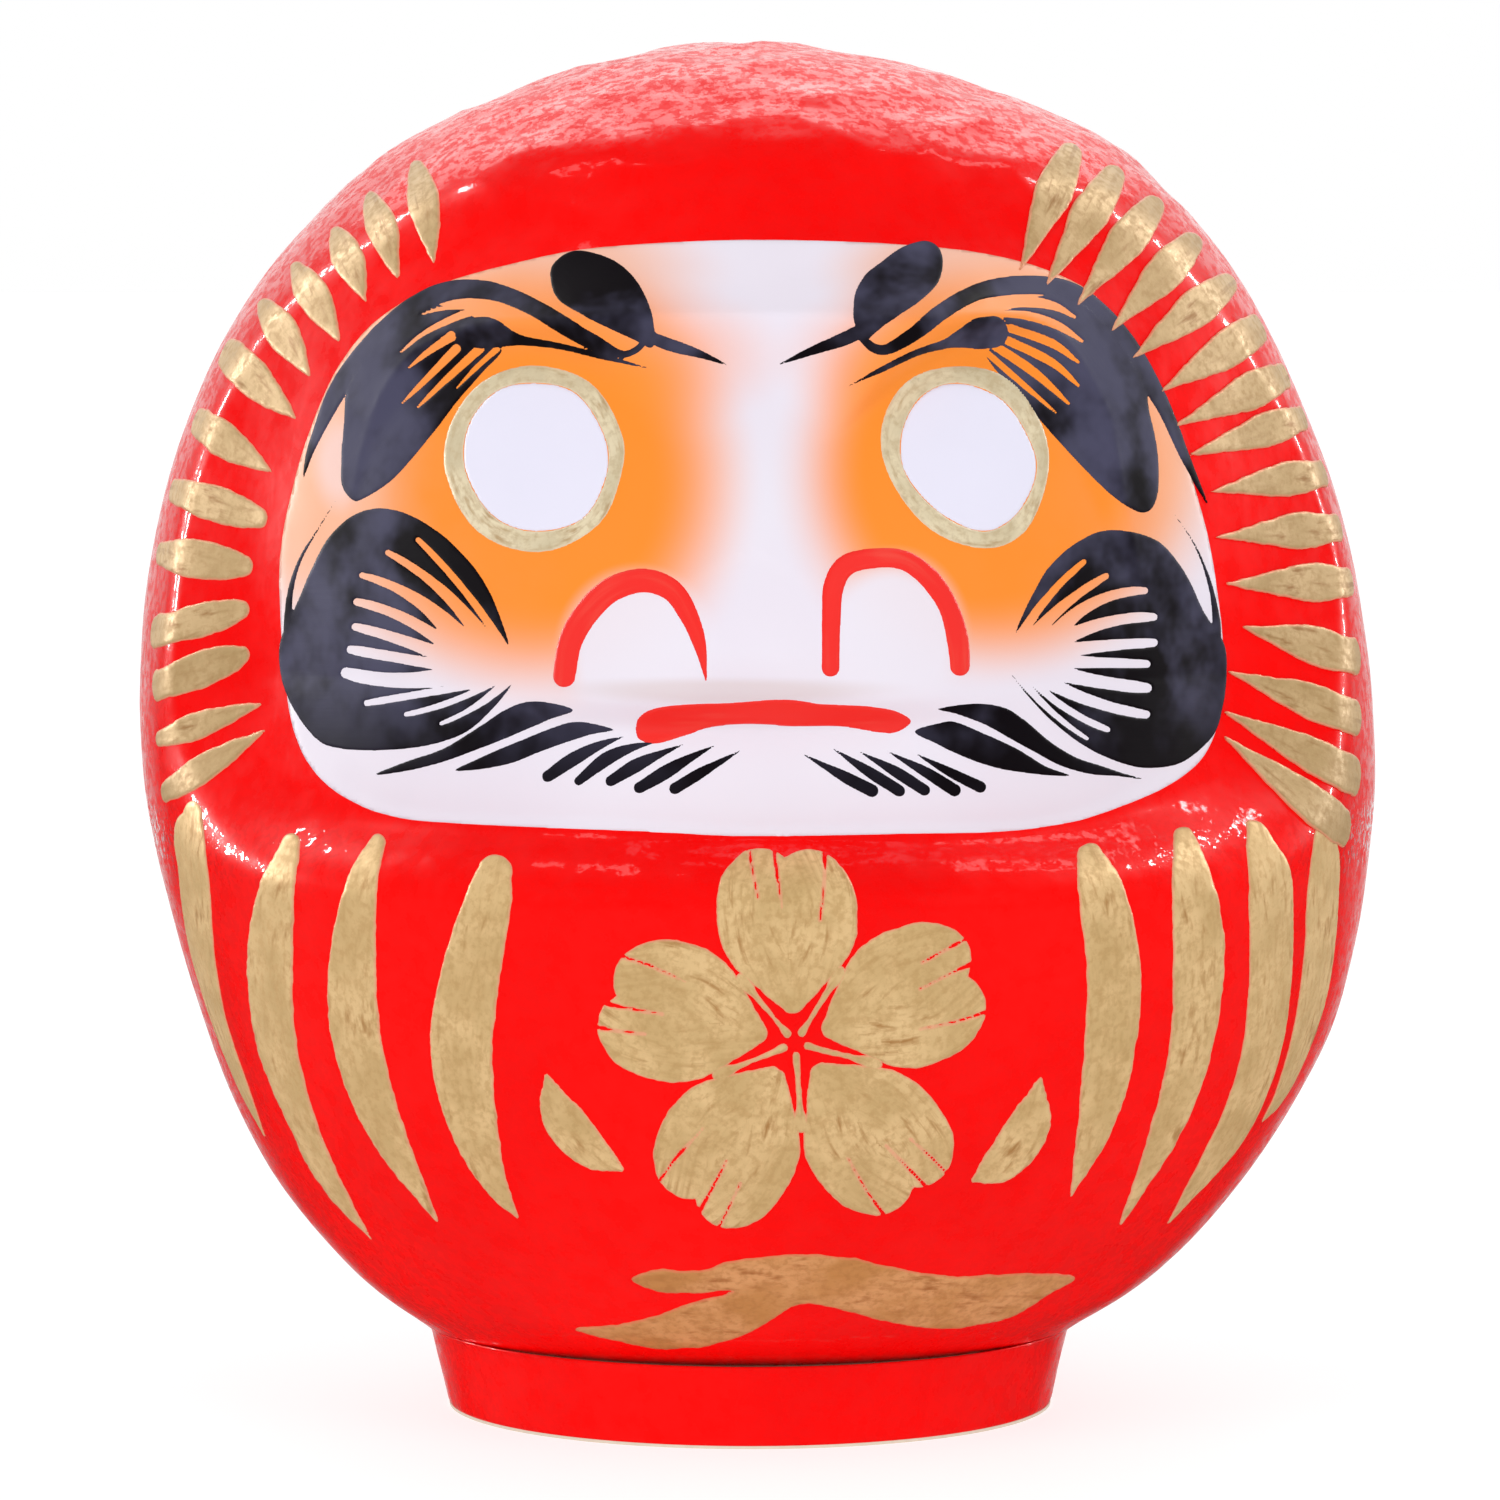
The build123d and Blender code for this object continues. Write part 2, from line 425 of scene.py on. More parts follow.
class Brush:
    """A stroke of a round brush through (x, v, half width) points, on a sheet turned by some degrees."""

    def __init__(self, points, turn=0.0):
        self.turn = turn
        self.chain = smooth(points, closed=False, steps=5)
        self.chain[:, 2] = np.maximum(self.chain[:, 2], 0.02)
        self.low = (self.chain[:, :2] - self.chain[:, 2:]).min(axis=0)
        self.high = (self.chain[:, :2] + self.chain[:, 2:]).max(axis=0)

    def measure(self, p):
        return chain_distance(p, self.chain)


class Blob:
    """A filled shape with a smooth outline. Its brush runs in one direction, or round it if None."""

    def __init__(self, points, direction=0.0, turn=0.0):
        self.turn = turn
        self.outline = smooth(points, steps=5)
        self.direction = direction
        self.low = self.outline.min(axis=0)
        self.high = self.outline.max(axis=0)

    def measure(self, p):
        inside = outline_distance(p, self.outline)
        if self.direction is None:
            out = p - self.outline.mean(axis=0)
            return inside, 10 * np.abs(np.arctan2(out[:, 1], out[:, 0])), inside
        c, s = math.cos(self.direction), math.sin(self.direction)
        return inside, p[:, 0] * c + p[:, 1] * s, p[:, 0] * s - p[:, 1] * c


class Joined:
    """Several shapes painted as one, less the shapes cut out of it."""

    turn = 0.0

    def __init__(self, shapes, cuts=()):
        self.shapes = shapes
        self.cuts = cuts
        self.low = np.min([s.low for s in shapes], axis=0)
        self.high = np.max([s.high for s in shapes], axis=0)

    def measure(self, p):
        best, along, across = self.shapes[0].measure(p)
        for shape in self.shapes[1:]:
            d, s, c = shape.measure(p)
            closer = d < best
            best = np.where(closer, d, best)
            along = np.where(closer, s, along)
            across = np.where(closer, c, across)
        for cut in self.cuts:
            best = np.maximum(best, -cut.measure(p)[0])
        return best, along, across


def clipped_grid(shape, step, wobble):
    """Triangles that fill a shape: sheet points, depth inside the edge, brush coordinates, faces.

    The edge wanders by about wobble, as one painted by hand does.
    """
    low = shape.low - 2 * step
    count = np.ceil((shape.high - low) / step).astype(int) + 3
    xs = low[0] + step * np.arange(count[0])
    vs = low[1] + step * np.arange(count[1])
    p = np.stack(np.meshgrid(xs, vs), axis=2).reshape(-1, 2)
    f, along, across = shape.measure(p)
    near = np.abs(f) < 1.5
    flat = np.column_stack([p[near], np.full(near.sum(), 40 * shape.turn)])
    f[near] += wobble * (noise_at(flat, 2.6) + 0.6 * noise_at(flat, 0.9))
    data = np.column_stack([p, f, along, across])
    i, j = np.meshgrid(np.arange(count[0] - 1), np.arange(count[1] - 1))
    a = (j * count[0] + i).ravel()
    b, c, d = a + 1, a + count[0] + 1, a + count[0]
    flip = ((i + j).ravel() % 2).astype(bool)[:, None]
    first = np.where(flip, np.stack([a, b, d], 1), np.stack([a, b, c], 1))
    second = np.where(flip, np.stack([b, c, d], 1), np.stack([a, c, d], 1))
    tris = np.vstack([first, second])
    inside = f < 0
    number = inside[tris].sum(axis=1)
    cuts = {}
    extra = []

    def cut(u, w):
        key = (min(u, w), max(u, w))
        if key not in cuts:
            m, n = key
            t = np.clip(f[m] / (f[m] - f[n]), 0.03, 0.97)
            row = data[m] * (1 - t) + data[n] * t
            row[2] = 0
            cuts[key] = len(data) + len(extra)
            extra.append(row)
        return cuts[key]

    small = []  # the triangles left of those that the edge cuts
    for tri in tris[(number == 1) | (number == 2)]:
        ins = inside[tri]
        odd = int(np.argmax(ins)) if ins.sum() == 1 else int(np.argmin(ins))
        o, m, n = (int(tri[(odd + k) % 3]) for k in range(3))
        om, on = cut(o, m), cut(o, n)
        if ins.sum() == 1:
            small.append((o, om, on))
        else:
            small += [(om, m, n), (om, n, on)]
    faces = np.vstack([tris[number == 3], np.array(small, int).reshape(-1, 3)])
    data = np.vstack([data, extra])
    used, faces = np.unique(faces, return_inverse=True)
    return data[used], faces.reshape(-1, 3)


def sight_lines(sheet, turn):
    """Starts and directions of the lines that look square on at sheet points.

    The front sheet is seen from the camera. A turned sheet stands upright, faces some degrees
    round to the doll's left (+X), and is looked at along parallel lines.
    """
    if turn == 0:
        target = AIM + np.outer(sheet[:, 1] - SHEET_MIDDLE, SHEET_UP)
        target[:, 0] += sheet[:, 0]
        rays = target - EYE
        rays /= np.linalg.norm(rays, axis=1, keepdims=True)
        return np.broadcast_to(EYE, rays.shape), rays
    across, outward = turned_axes(turn)
    starts = np.outer(sheet[:, 0], across) + 300 * outward
    starts[:, 2] += sheet[:, 1]
    return starts, np.broadcast_to(-outward, starts.shape)


def turned_axes(turn):
    """The direction across a turned sheet and the direction it faces."""
    angle = math.radians(turn)
    across = np.array([math.cos(angle), math.sin(angle), 0.0])
    outward = np.array([math.sin(angle), -math.cos(angle), 0.0])
    return across, outward


WIDEST_AT_SIDE = 5.0  # the half width of the fullest stroke near the view's edge
MOST_WIDENED = 2.6  # how much wider a stroke there may be than it looks from the front
LIFTED = 0.6  # how much of the way from a flat triangle to the rounded surface a point moves


class Canvas:
    """The shell's outside, for casting sheet points onto it."""

    def __init__(self, grid, crown):
        rows, columns = grid.shape[:2]
        self.points = grid.reshape(-1, 3)
        self.normals = grid_normals(grid, crown).reshape(-1, 3)
        quads = ring_faces(rows, columns)
        self.tris = np.vstack([quads[:, [0, 1, 2]], quads[:, [0, 2, 3]]])
        self.tree = BVHTree.FromPolygons(self.points.tolist(), self.tris.tolist())

    def hit(self, sheet, turn):
        """Where the sight lines meet the surface. One that passes by takes the nearest place."""
        hits = np.zeros((len(sheet), 3))
        index = np.zeros(len(sheet), int)
        for n, (start, ray) in enumerate(zip(*sight_lines(sheet, turn))):
            place, _, face, _ = self.tree.ray_cast(Vector(start), Vector(ray))
            if place is None:
                beside = start - ray * (start @ ray)
                place, _, face, _ = self.tree.find_nearest(Vector(beside))
            hits[n] = place
            index[n] = face
        return hits, index

    def drape(self, sheet, turn):
        """Points and normals on the rounded surface under each sheet point."""
        return self.rounded(*self.hit(sheet, turn))

    def turned_stroke(self, points, turn):
        """A stroke measured on the front sheet, moved with its true shape onto a turned sheet."""
        chain = smooth(points, closed=False, steps=3)
        run = np.gradient(chain[:, :2], axis=0)
        run /= np.linalg.norm(run, axis=1, keepdims=True)
        side = np.column_stack([-run[:, 1], run[:, 0]]) * chain[:, 2:]
        across, _ = turned_axes(turn)
        edges = []
        for edge in (chain[:, :2] - side, chain[:, :2] + side):
            hits, _ = self.hit(edge, 0)
            edges.append(np.column_stack([hits @ across, hits[:, 2]]))
        order = np.argsort([math.copysign(1, turn) * edge[:, 0].mean() for edge in edges])
        inner, outer = edges[order[0]], edges[order[1]]
        width = np.linalg.norm(outer - inner, axis=1)
        half = np.minimum(np.minimum(width / 2, MOST_WIDENED * chain[:, 2]), WIDEST_AT_SIDE)
        middle = inner + (outer - inner) * (half / np.maximum(width, 1e-6))[:, None]
        return Brush(np.column_stack([middle, half]), turn)

    def rounded(self, hits, index):
        """Lifts points off flat triangles onto the surface their normals describe."""
        tri = self.tris[index]
        a, b, c = (self.points[tri[:, k]] for k in range(3))
        total = np.cross(b - a, c - a)
        area = (total ** 2).sum(axis=1)
        wa = (np.cross(b - hits, c - hits) * total).sum(axis=1) / area
        wb = (np.cross(c - hits, a - hits) * total).sum(axis=1) / area
        weights = np.stack([wa, wb, 1 - wa - wb], axis=1)
        lifted = np.zeros_like(hits)
        normal = np.zeros_like(hits)
        for k, corner in enumerate((a, b, c)):
            n = self.normals[tri[:, k]]
            w = weights[:, k:k + 1]
            lifted += w * (hits - ((hits - corner) * n).sum(axis=1, keepdims=True) * n)
            normal += w * n
        normal /= np.linalg.norm(normal, axis=1, keepdims=True)
        return hits + LIFTED * (lifted - hits), normal


PAINT_ROOT = 0.2  # how deep a coat's underside sits in what it's painted on
EDGE_LIFT = 0.015  # how far a coat's thin edge stands clear of what it's painted on


def paint(name, shapes, material, slot, canvas, step=0.3, thick=0.12, rim=0.4, lift=0.0, wobble=0.04):
    """One closed mesh of paint for several shapes: raised by thick, with edges rounded over rim."""
    points, faces, brush, inset = [], [], [], []
    start = 0
    for shape in shapes:
        data, tris = clipped_grid(shape, step, wobble)
        place, normal = canvas.drape(data[:, :2], shape.turn)
        inward = np.clip(-data[:, 2] / rim, 0, 1)
        height = lift + EDGE_LIFT + thick * np.sqrt(1 - (1 - inward) ** 2)
        top = place + normal * height[:, None]
        under = place - normal * PAINT_ROOT
        count = len(data)
        edges = np.vstack([tris[:, [0, 1]], tris[:, [1, 2]], tris[:, [2, 0]]])
        _, first, counts = np.unique(
            np.sort(edges, axis=1), axis=0, return_index=True, return_counts=True)
        border = edges[first[counts == 1]]
        skirt = np.column_stack([border[:, 1], border[:, 0], border[:, 0] + count, border[:, 1] + count])
        points.append(np.vstack([top, under]))
        faces += (tris + start).tolist()
        faces += (tris[:, ::-1] + count + start).tolist()
        faces += (skirt + start).tolist()
        brush.append(np.tile(data[:, 3:5] / 10, (2, 1)))
        depth = np.column_stack([-data[:, 2], 0 * data[:, 2]])
        inset.append(np.tile(depth, (2, 1)))
        start += 2 * count
    piece = build_mesh(name, np.vstack(points), faces, material)
    add_map(piece, "brush", np.vstack(brush))
    add_map(piece, "inset", np.vstack(inset))
    return piece


def add_map(piece, name, values):
    """Stores two numbers for each point as a UV map.

    "brush" holds the place along and across the stroke in centimetres, and "inset" the distance
    from the paint's edge in millimetres.
    """
    mesh = piece.data
    layer = mesh.uv_layers.new(name=name)
    corner = np.zeros(len(mesh.loops), np.int32)
    mesh.loops.foreach_get("vertex_index", corner)
    layer.data.foreach_set("uv", values[corner].astype(np.float32).ravel())


# ---------------------------------------------------------------- materials

class Nodes:
    """Short ways to add nodes to a tree. Each gives the new node's output."""

    def __init__(self, tree):
        self.tree = tree

    def node(self, kind, settings=None, **inputs):
        """A node with its settings and inputs; an input is a value or another node's socket."""
        node = self.tree.nodes.new(kind)
        for key, value in (settings or {}).items():
            setattr(node, key, value)
        for key, value in inputs.items():
            self.feed(node.inputs[key.replace("_", " ")], value)
        return node

    def feed(self, socket, value):
        if isinstance(value, bpy.types.NodeSocket):
            self.tree.links.new(value, socket)
        else:
            socket.default_value = value

    def spread(self, value, low, high, to_low=0.0, to_high=1.0):
        """Maps low..high to to_low..to_high, smoothly and clamped."""
        node = self.node("ShaderNodeMapRange", {"interpolation_type": "SMOOTHSTEP"})
        self.feed(node.inputs["Value"], value)
        numbers = {"From Min": low, "From Max": high, "To Min": to_low, "To Max": to_high}
        for key, number in numbers.items():
            node.inputs[key].default_value = number
        return node.outputs["Result"]

    def math(self, operation, a, b=0.0, kind="ShaderNodeMath", output="Value"):
        node = self.node(kind, {"operation": operation})
        self.feed(node.inputs[0], a)
        self.feed(node.inputs[1], b)
        return node.outputs[output]

    def vector(self, operation, a, b=(0, 0, 0), output="Vector"):
        return self.math(operation, a, b, "ShaderNodeVectorMath", output)


class Shader(Nodes):
    """A principled material."""

    def __init__(self, name):
        self.material = bpy.data.materials.new(name)
        self.material.use_nodes = True
        super().__init__(self.material.node_tree)

    def set(self, **inputs):
        bsdf = self.tree.nodes["Principled BSDF"]
        for key, value in inputs.items():
            self.feed(bsdf.inputs[key.replace("_", " ")], value)

    def place(self):
        """The doll's own coordinates, in metres."""
        return self.node("ShaderNodeNewGeometry").outputs["Position"]

    def brush(self, along, across):
        """Brush coordinates scaled to the given numbers of features per centimetre."""
        uv = self.node("ShaderNodeUVMap", {"uv_map": "brush"}).outputs["UV"]
        return self.vector("MULTIPLY", uv, (along, across, 1.0))

    def inset(self):
        """How far in from the paint's edge, in millimetres."""
        uv = self.node("ShaderNodeUVMap", {"uv_map": "inset"}).outputs["UV"]
        return self.node("ShaderNodeSeparateXYZ", Vector=uv).outputs["X"]

    def stretched(self, vector, scale):
        return self.node("ShaderNodeMapping", Vector=vector, Scale=scale).outputs["Vector"]

    def noise(self, vector, scale=1.0, detail=3.0, rough=0.5):
        node = self.node(
            "ShaderNodeTexNoise", Vector=vector, Scale=scale, Detail=detail, Roughness=rough)
        return node.outputs["Fac"]

    def mix(self, share, a, b):
        """Mixes two colours."""
        node = self.node("ShaderNodeMix", {"data_type": "RGBA"})
        self.feed(node.inputs["Factor"], share)
        self.feed(node.inputs[6], a)
        self.feed(node.inputs[7], b)
        return node.outputs[2]

    def bump(self, height, strength, distance, under=None):
        """Bump of the given depth in millimetres."""
        node = self.node("ShaderNodeBump", Height=height, Strength=strength, Distance=distance * MM)
        if under is not None:
            self.feed(node.inputs["Normal"], under)
        return node.outputs["Normal"]


RED = (0.97, 0.0015, 0.001, 1)
DEEP_RED = (0.87, 0.001, 0.001, 1)
CRACKLED_AT = 77.5  # the height at which the varnish pooled beside the chin and crackled


def red_lacquer():
    """Glossy red paint over pasted paper: brush streaks and lumps under a coat of crackled varnish."""
    s = Shader("red_lacquer")
    place = s.place()
    cloud = s.spread(s.noise(place, 22, 3), 0.35, 0.7)
    s.set(Base_Color=s.mix(cloud, RED, DEEP_RED))
    fine = s.noise(place, 260, 4, 0.6)
    s.set(Roughness=s.spread(fine, 0.3, 0.7, 0.24, 0.36))
    streaks = s.noise(s.stretched(place, (1.0, 1.0, 0.16)), 420, 2)
    s.set(Normal=s.bump(streaks, 0.25, 0.12, s.bump(s.noise(place, 140, 3), 0.35, 0.4)))
    apart = s.node("ShaderNodeSeparateXYZ", Vector=place).outputs
    beside = s.spread(s.math("ABSOLUTE", apart["X"]), 0.042, 0.056)
    from_fold = s.math("ABSOLUTE", s.math("SUBTRACT", apart["Z"], CRACKLED_AT * MM))
    pooled = s.math("MULTIPLY", beside, s.spread(from_fold, 0.002, 0.006, 1.0, 0.0))
    wrinkle = s.math("MULTIPLY", pooled, s.noise(place, 420, 2))
    s.set(Coat_Normal=s.bump(wrinkle, 1.0, 0.22, s.bump(s.noise(place, 110, 3), 0.4, 0.5)))
    crackle = s.spread(s.noise(place, 700, 3, 0.7), 0.45, 0.54, 0.0, 0.55)
    sparkle = s.math("MULTIPLY", pooled, s.spread(s.noise(place, 1150, 1), 0.5, 0.56, -0.5, 1.0))
    s.set(Coat_Weight=s.math("ADD", crackle, sparkle), Coat_Roughness=0.06, Specular_IOR_Level=0.08)
    return s.material


def gold_paint(name, tint, metal, rim):
    """Gold powder paint: mottled and grainy, browner where it's thin, with a thin rosy edge."""
    s = Shader(name)
    place = s.place()
    streak = s.noise(s.brush(2.2, 9), 1.0, 3, 0.6)
    patch = s.noise(place, 130, 3)
    grain = s.noise(place, 900, 3, 0.6)
    pale = (*(min(1.0, c * 1.18 + 0.05) for c in tint), 1)
    shade = (tint[0] * 0.8, tint[1] * 0.72, tint[2] * 0.62, 1)
    thin = (tint[0] * 0.66, tint[1] * 0.48, tint[2] * 0.32, 1)
    colour = s.mix(s.spread(patch, 0.35, 0.65), (*tint, 1), pale)
    colour = s.mix(s.spread(grain, 0.42, 0.68, 0.0, 0.55), colour, shade)
    colour = s.mix(s.spread(streak, 0.45, 0.7, 0.0, 0.45), colour, shade)
    colour = s.mix(s.spread(s.math("ADD", streak, patch), 1.08, 1.42), colour, thin)
    colour = s.mix(s.spread(s.inset(), 0.05, 0.32, 0.7, 0.0), colour, (*rim, 1))
    s.set(Base_Color=colour, Metallic=metal, Specular_IOR_Level=0.3)
    s.set(Roughness=s.spread(grain, 0.3, 0.7, 0.36, 0.6))
    s.set(Normal=s.bump(streak, 0.3, 0.1, s.bump(grain, 0.4, 0.08)))
    return s.material


def ink():
    """Brush ink: near black, with a painted blue-grey sheen in patches, mostly on the ink higher up the
    face.
    """
    s = Shader("black_ink")
    place = s.place()
    height = s.node("ShaderNodeSeparateXYZ", Vector=place).outputs["Z"]
    # painted reflection: patchy blue-grey sheen, full above about 10 cm and faint below
    painted_sheen = s.math("MULTIPLY", s.spread(s.noise(place, 55, 4, 0.55), 0.43, 0.64),
                   s.spread(height, 0.088, 0.102, 0.1, 1.0))
    s.set(Base_Color=s.mix(painted_sheen, (0.006, 0.004, 0.006, 1), (0.068, 0.066, 0.115, 1)))
    s.set(Roughness=s.spread(s.noise(place, 190, 3), 0.3, 0.7, 0.4, 0.6), Specular_IOR_Level=0.08)
    s.set(Normal=s.bump(s.noise(s.brush(1.0, 12), 1.0, 3), 0.2, 0.1))
    return s.material


def red_brush():
    """Thin red brush paint: the white shows through a little."""
    s = Shader("red_brush")
    streak = s.noise(s.brush(0.7, 9), 1.0, 3)
    thin = s.spread(s.math("ADD", streak, s.noise(s.place(), 90, 2)), 1.0, 1.4)
    s.set(Base_Color=s.mix(thin, (0.90, 0.014, 0.008, 1), (0.88, 0.05, 0.03, 1)))
    s.set(Roughness=0.38, Normal=s.bump(streak, 0.3, 0.1))
    return s.material


FACE_WHITE = (0.80, 0.755, 0.84, 1)
ORANGE = (0.97, 0.265, 0.018, 1)
PEACH = (0.90, 0.42, 0.24, 1)
# the colour of the painted shadow under the nose's step
NOSE_SHADOW = (0.70, 0.60, 0.62, 1)

SPRAY_Y = -56.0  # the face's usual depth, where the patches' centres are cast to
# Sprayed patches, and a painted shadow under the nose: sheet centre, half sizes, softness (0 hard, 1
# soft), colour, strength
SPRAY_AND_SHADOW = [
    ((-36, 124), (29, 24), 0.5, PEACH, 0.95),
    ((37, 125), (24, 23.5), 0.5, PEACH, 0.95),
    ((-33, 149), (22, 8), 0.8, PEACH, 0.8),
    ((32, 149), (17, 7), 0.8, PEACH, 0.8),
    ((-28, 138), (24, 9), 0.8, ORANGE, 0.7),
    ((31, 138), (20, 9), 0.8, ORANGE, 0.7),
    ((-27.5, 121), (21, 22), 0.7, ORANGE, 1.0),
    ((31.5, 123), (21.5, 21.5), 0.6, ORANGE, 1.0),
    ((-60, 118), (9, 13), 1.0, PEACH, 0.9),
    ((-55, 123), (3, 5), 1.0, FACE_WHITE, 0.4),
    ((-14.5, 99.5), (9, 9.5), 0.5, FACE_WHITE, 0.95),
    ((18.5, 101), (8.5, 10), 0.5, FACE_WHITE, 0.95),
    # painted shadow: a soft grey band under the nose's mound, where the step above the mouth is shaded
    ((-2.9, 94.9), (17, 1.5), 0.9, NOSE_SHADOW, 0.8),
]


def face_paint():
    """White face paint, sprayed with soft orange round the eyes, with a painted grey shadow under the
    nose.
    """
    s = Shader("face_paint")
    place = s.place()
    colour = s.mix(s.spread(s.noise(place, 30, 2), 0.3, 0.7), FACE_WHITE, (0.78, 0.72, 0.81, 1))
    for (x, v), (half_x, half_v), softness, tint, strength in SPRAY_AND_SHADOW:
        px, pz = cast(np.array([x]), np.array([v]), np.array([SPRAY_Y]))
        away = s.vector("SUBTRACT", place, (px[0] * MM, 0, pz[0] * MM))
        away = s.vector("MULTIPLY", away, (1 / half_x / MM, 0, 1 / half_v / MM))
        away = s.vector("LENGTH", away, output="Value")
        share = s.spread(away, 1 - softness / 2, 1 + softness / 2, strength, 0.0)
        colour = s.mix(share, colour, tint)
    s.set(Base_Color=colour, Roughness=s.spread(s.noise(place, 150, 3), 0.3, 0.7, 0.36, 0.48))
    s.set(Normal=s.bump(s.noise(place, 330, 3), 0.15, 0.15), Specular_IOR_Level=0.35)
    return s.material


def eye_paint():
    """The blank eyes' white."""
    s = Shader("eye_paint")
    place = s.place()
    s.set(Base_Color=s.mix(s.noise(place, 120, 2), (0.785, 0.765, 0.90, 1), (0.76, 0.74, 0.87, 1)))
    s.set(Roughness=0.4, Normal=s.bump(s.noise(place, 300, 2), 0.15, 0.12))
    return s.material


def clay():
    """Dry pressed clay."""
    s = Shader("clay")
    place = s.place()
    s.set(Base_Color=s.mix(s.noise(place, 160, 5), (0.42, 0.30, 0.21, 1), (0.30, 0.20, 0.14, 1)))
    s.set(Roughness=0.9, Normal=s.bump(s.noise(place, 500, 4), 0.5, 0.4))
    return s.material


def plain_paper():
    """Undyed pasted paper with long fibres."""
    s = Shader("plain_paper")
    place = s.place()
    fibre = s.noise(s.stretched(place, (1, 5, 1)), 300, 5)
    s.set(Base_Color=s.mix(fibre, (0.80, 0.73, 0.60, 1), (0.66, 0.58, 0.45, 1)))
    s.set(Roughness=0.85, Normal=s.bump(fibre, 0.3, 0.15))
    return s.material


def studio_floor():
    """A pale, faintly mottled studio sweep, lit through from below like a light table."""
    s = Shader("studio_floor")
    s.set(Base_Color=s.mix(s.noise(s.place(), 3, 2), (0.40, 0.40, 0.40, 1), (0.37, 0.37, 0.37, 1)))
    s.set(Roughness=0.7, Specular_IOR_Level=0.1)
    s.set(Emission_Color=(1, 1, 1, 1), Emission_Strength=0.74)
    s.material.cycles.emission_sampling = "NONE"
    return s.material


# ---------------------------------------------------------------- the drawings

EYE_LEFT = [
    (-28.3, 134.5), (-22.8, 133), (-19.1, 127.1), (-19.1, 121.8), (-22.2, 116.5), (-28.5, 114.9),
    (-34.1, 117.1), (-37.6, 123.1), (-37.1, 129), (-33.5, 133.4),
]
RING_LEFT = [
    (-28.7, 136.9), (-21.2, 134.7), (-17.1, 128.4), (-16.8, 123.1), (-19.9, 115.8), (-27.8, 112.1),
    (-36, 114.9), (-40.2, 122.4), (-39.6, 129), (-35.5, 134.6),
]
EYE_RIGHT = [
    (27.4, 134.5), (33.5, 132.1), (37.3, 126), (37.6, 121.8), (35.1, 117.1), (30.8, 114.9),
    (25.1, 117.3), (20.6, 122.4), (20, 127.6), (22.5, 132.6),
]
RING_RIGHT = [
    (27.1, 136.8), (34.4, 135), (38.8, 128.4), (39.3, 122), (36.5, 115.1), (31.1, 112.6),
    (23.8, 115.1), (18.5, 121.8), (17.3, 128.4), (20.5, 134.7),
]


def brow_left():
    dab = [
        (-23.2, 152), (-18.8, 151.1), (-15.7, 148.9), (-13.6, 145.5), (-12.6, 141.6), (-13, 139.2),
        (-15.4, 140.3), (-18.3, 141.6), (-21.4, 143.1), (-24.9, 145.1), (-26.2, 147.3), (-26.1, 150.1),
    ]
    tail = [(-13.1, 140.6, 0.79), (-10.3, 139.5, 0.86), (-6.4, 138.3, 0.53), (-2.8, 136.8, 0.04)]
    arm = [
        (-59.1, 121.6, 0.04), (-58.2, 125.1, 0.46), (-56.8, 128.6, 0.79), (-54.9, 132.7, 1.19),
        (-52.3, 136.8, 1.32), (-48.6, 141.1, 1.32), (-44.7, 144.4, 1.32), (-40.4, 146.5, 1.32),
        (-36, 146.9, 1.26), (-32.2, 146.1, 1.19), (-27.8, 144.1, 1.12), (-24.1, 141.9, 1.12),
        (-20.5, 139.9, 1.06), (-17.1, 138.4, 0.53), (-15, 139, 0.46), (-13.8, 140.3, 0.46),
    ]
    lobe = [
        (-53.1, 134.1), (-53.7, 128.6), (-54, 124.4), (-53.9, 121), (-52.4, 119), (-50.7, 119.4),
        (-47.6, 121.4), (-44.7, 124.4), (-41.2, 128.7), (-38.2, 132.6), (-35.2, 136), (-32.7, 139),
        (-35.7, 139.9), (-38.1, 141.6), (-36.5, 143.6), (-40.4, 144.8), (-43, 144.1), (-46.3, 143.2),
        (-50, 139.6),
    ]
    gaps = [
        [(-46.1, 138.6, 0.08), (-43, 141.1, 0.29), (-39, 143.1, 0.45), (-35.5, 144.3, 0.53)],
        [(-45.1, 136.6, 0.11), (-42.4, 138.8, 0.4), (-39.4, 140.8, 0.6)],
        [(-45.9, 131.9, 0.11), (-42.5, 135.3, 0.4), (-38.8, 139.1, 0.6)],
        [(-44, 131.2, 0.11), (-40.4, 134.7, 0.4), (-35.7, 139.1, 0.6)],
        [(-38.8, 133.8, 0.08), (-36.5, 136.2, 0.26), (-33.5, 139, 0.37)],
        [(-43.3, 143.6, 0.08), (-40.4, 144.4, 0.26), (-36.3, 144.8, 0.53)],
    ]
    head = [
        (-37.1, 141.1, 1.85), (-34.8, 141.2, 2.05), (-32, 140.6, 1.19), (-29.8, 140.2, 0.66),
        (-25.1, 139.5, 0.45), (-19.9, 138.2, 0.4), (-13, 136.4, 0.04),
    ]
    hairs = Joined([Blob(lobe, 0.9)], [Brush(g) for g in gaps])
    return Joined([hairs, Brush(arm), Blob(dab, -0.7), Brush(tail), Brush(head)])


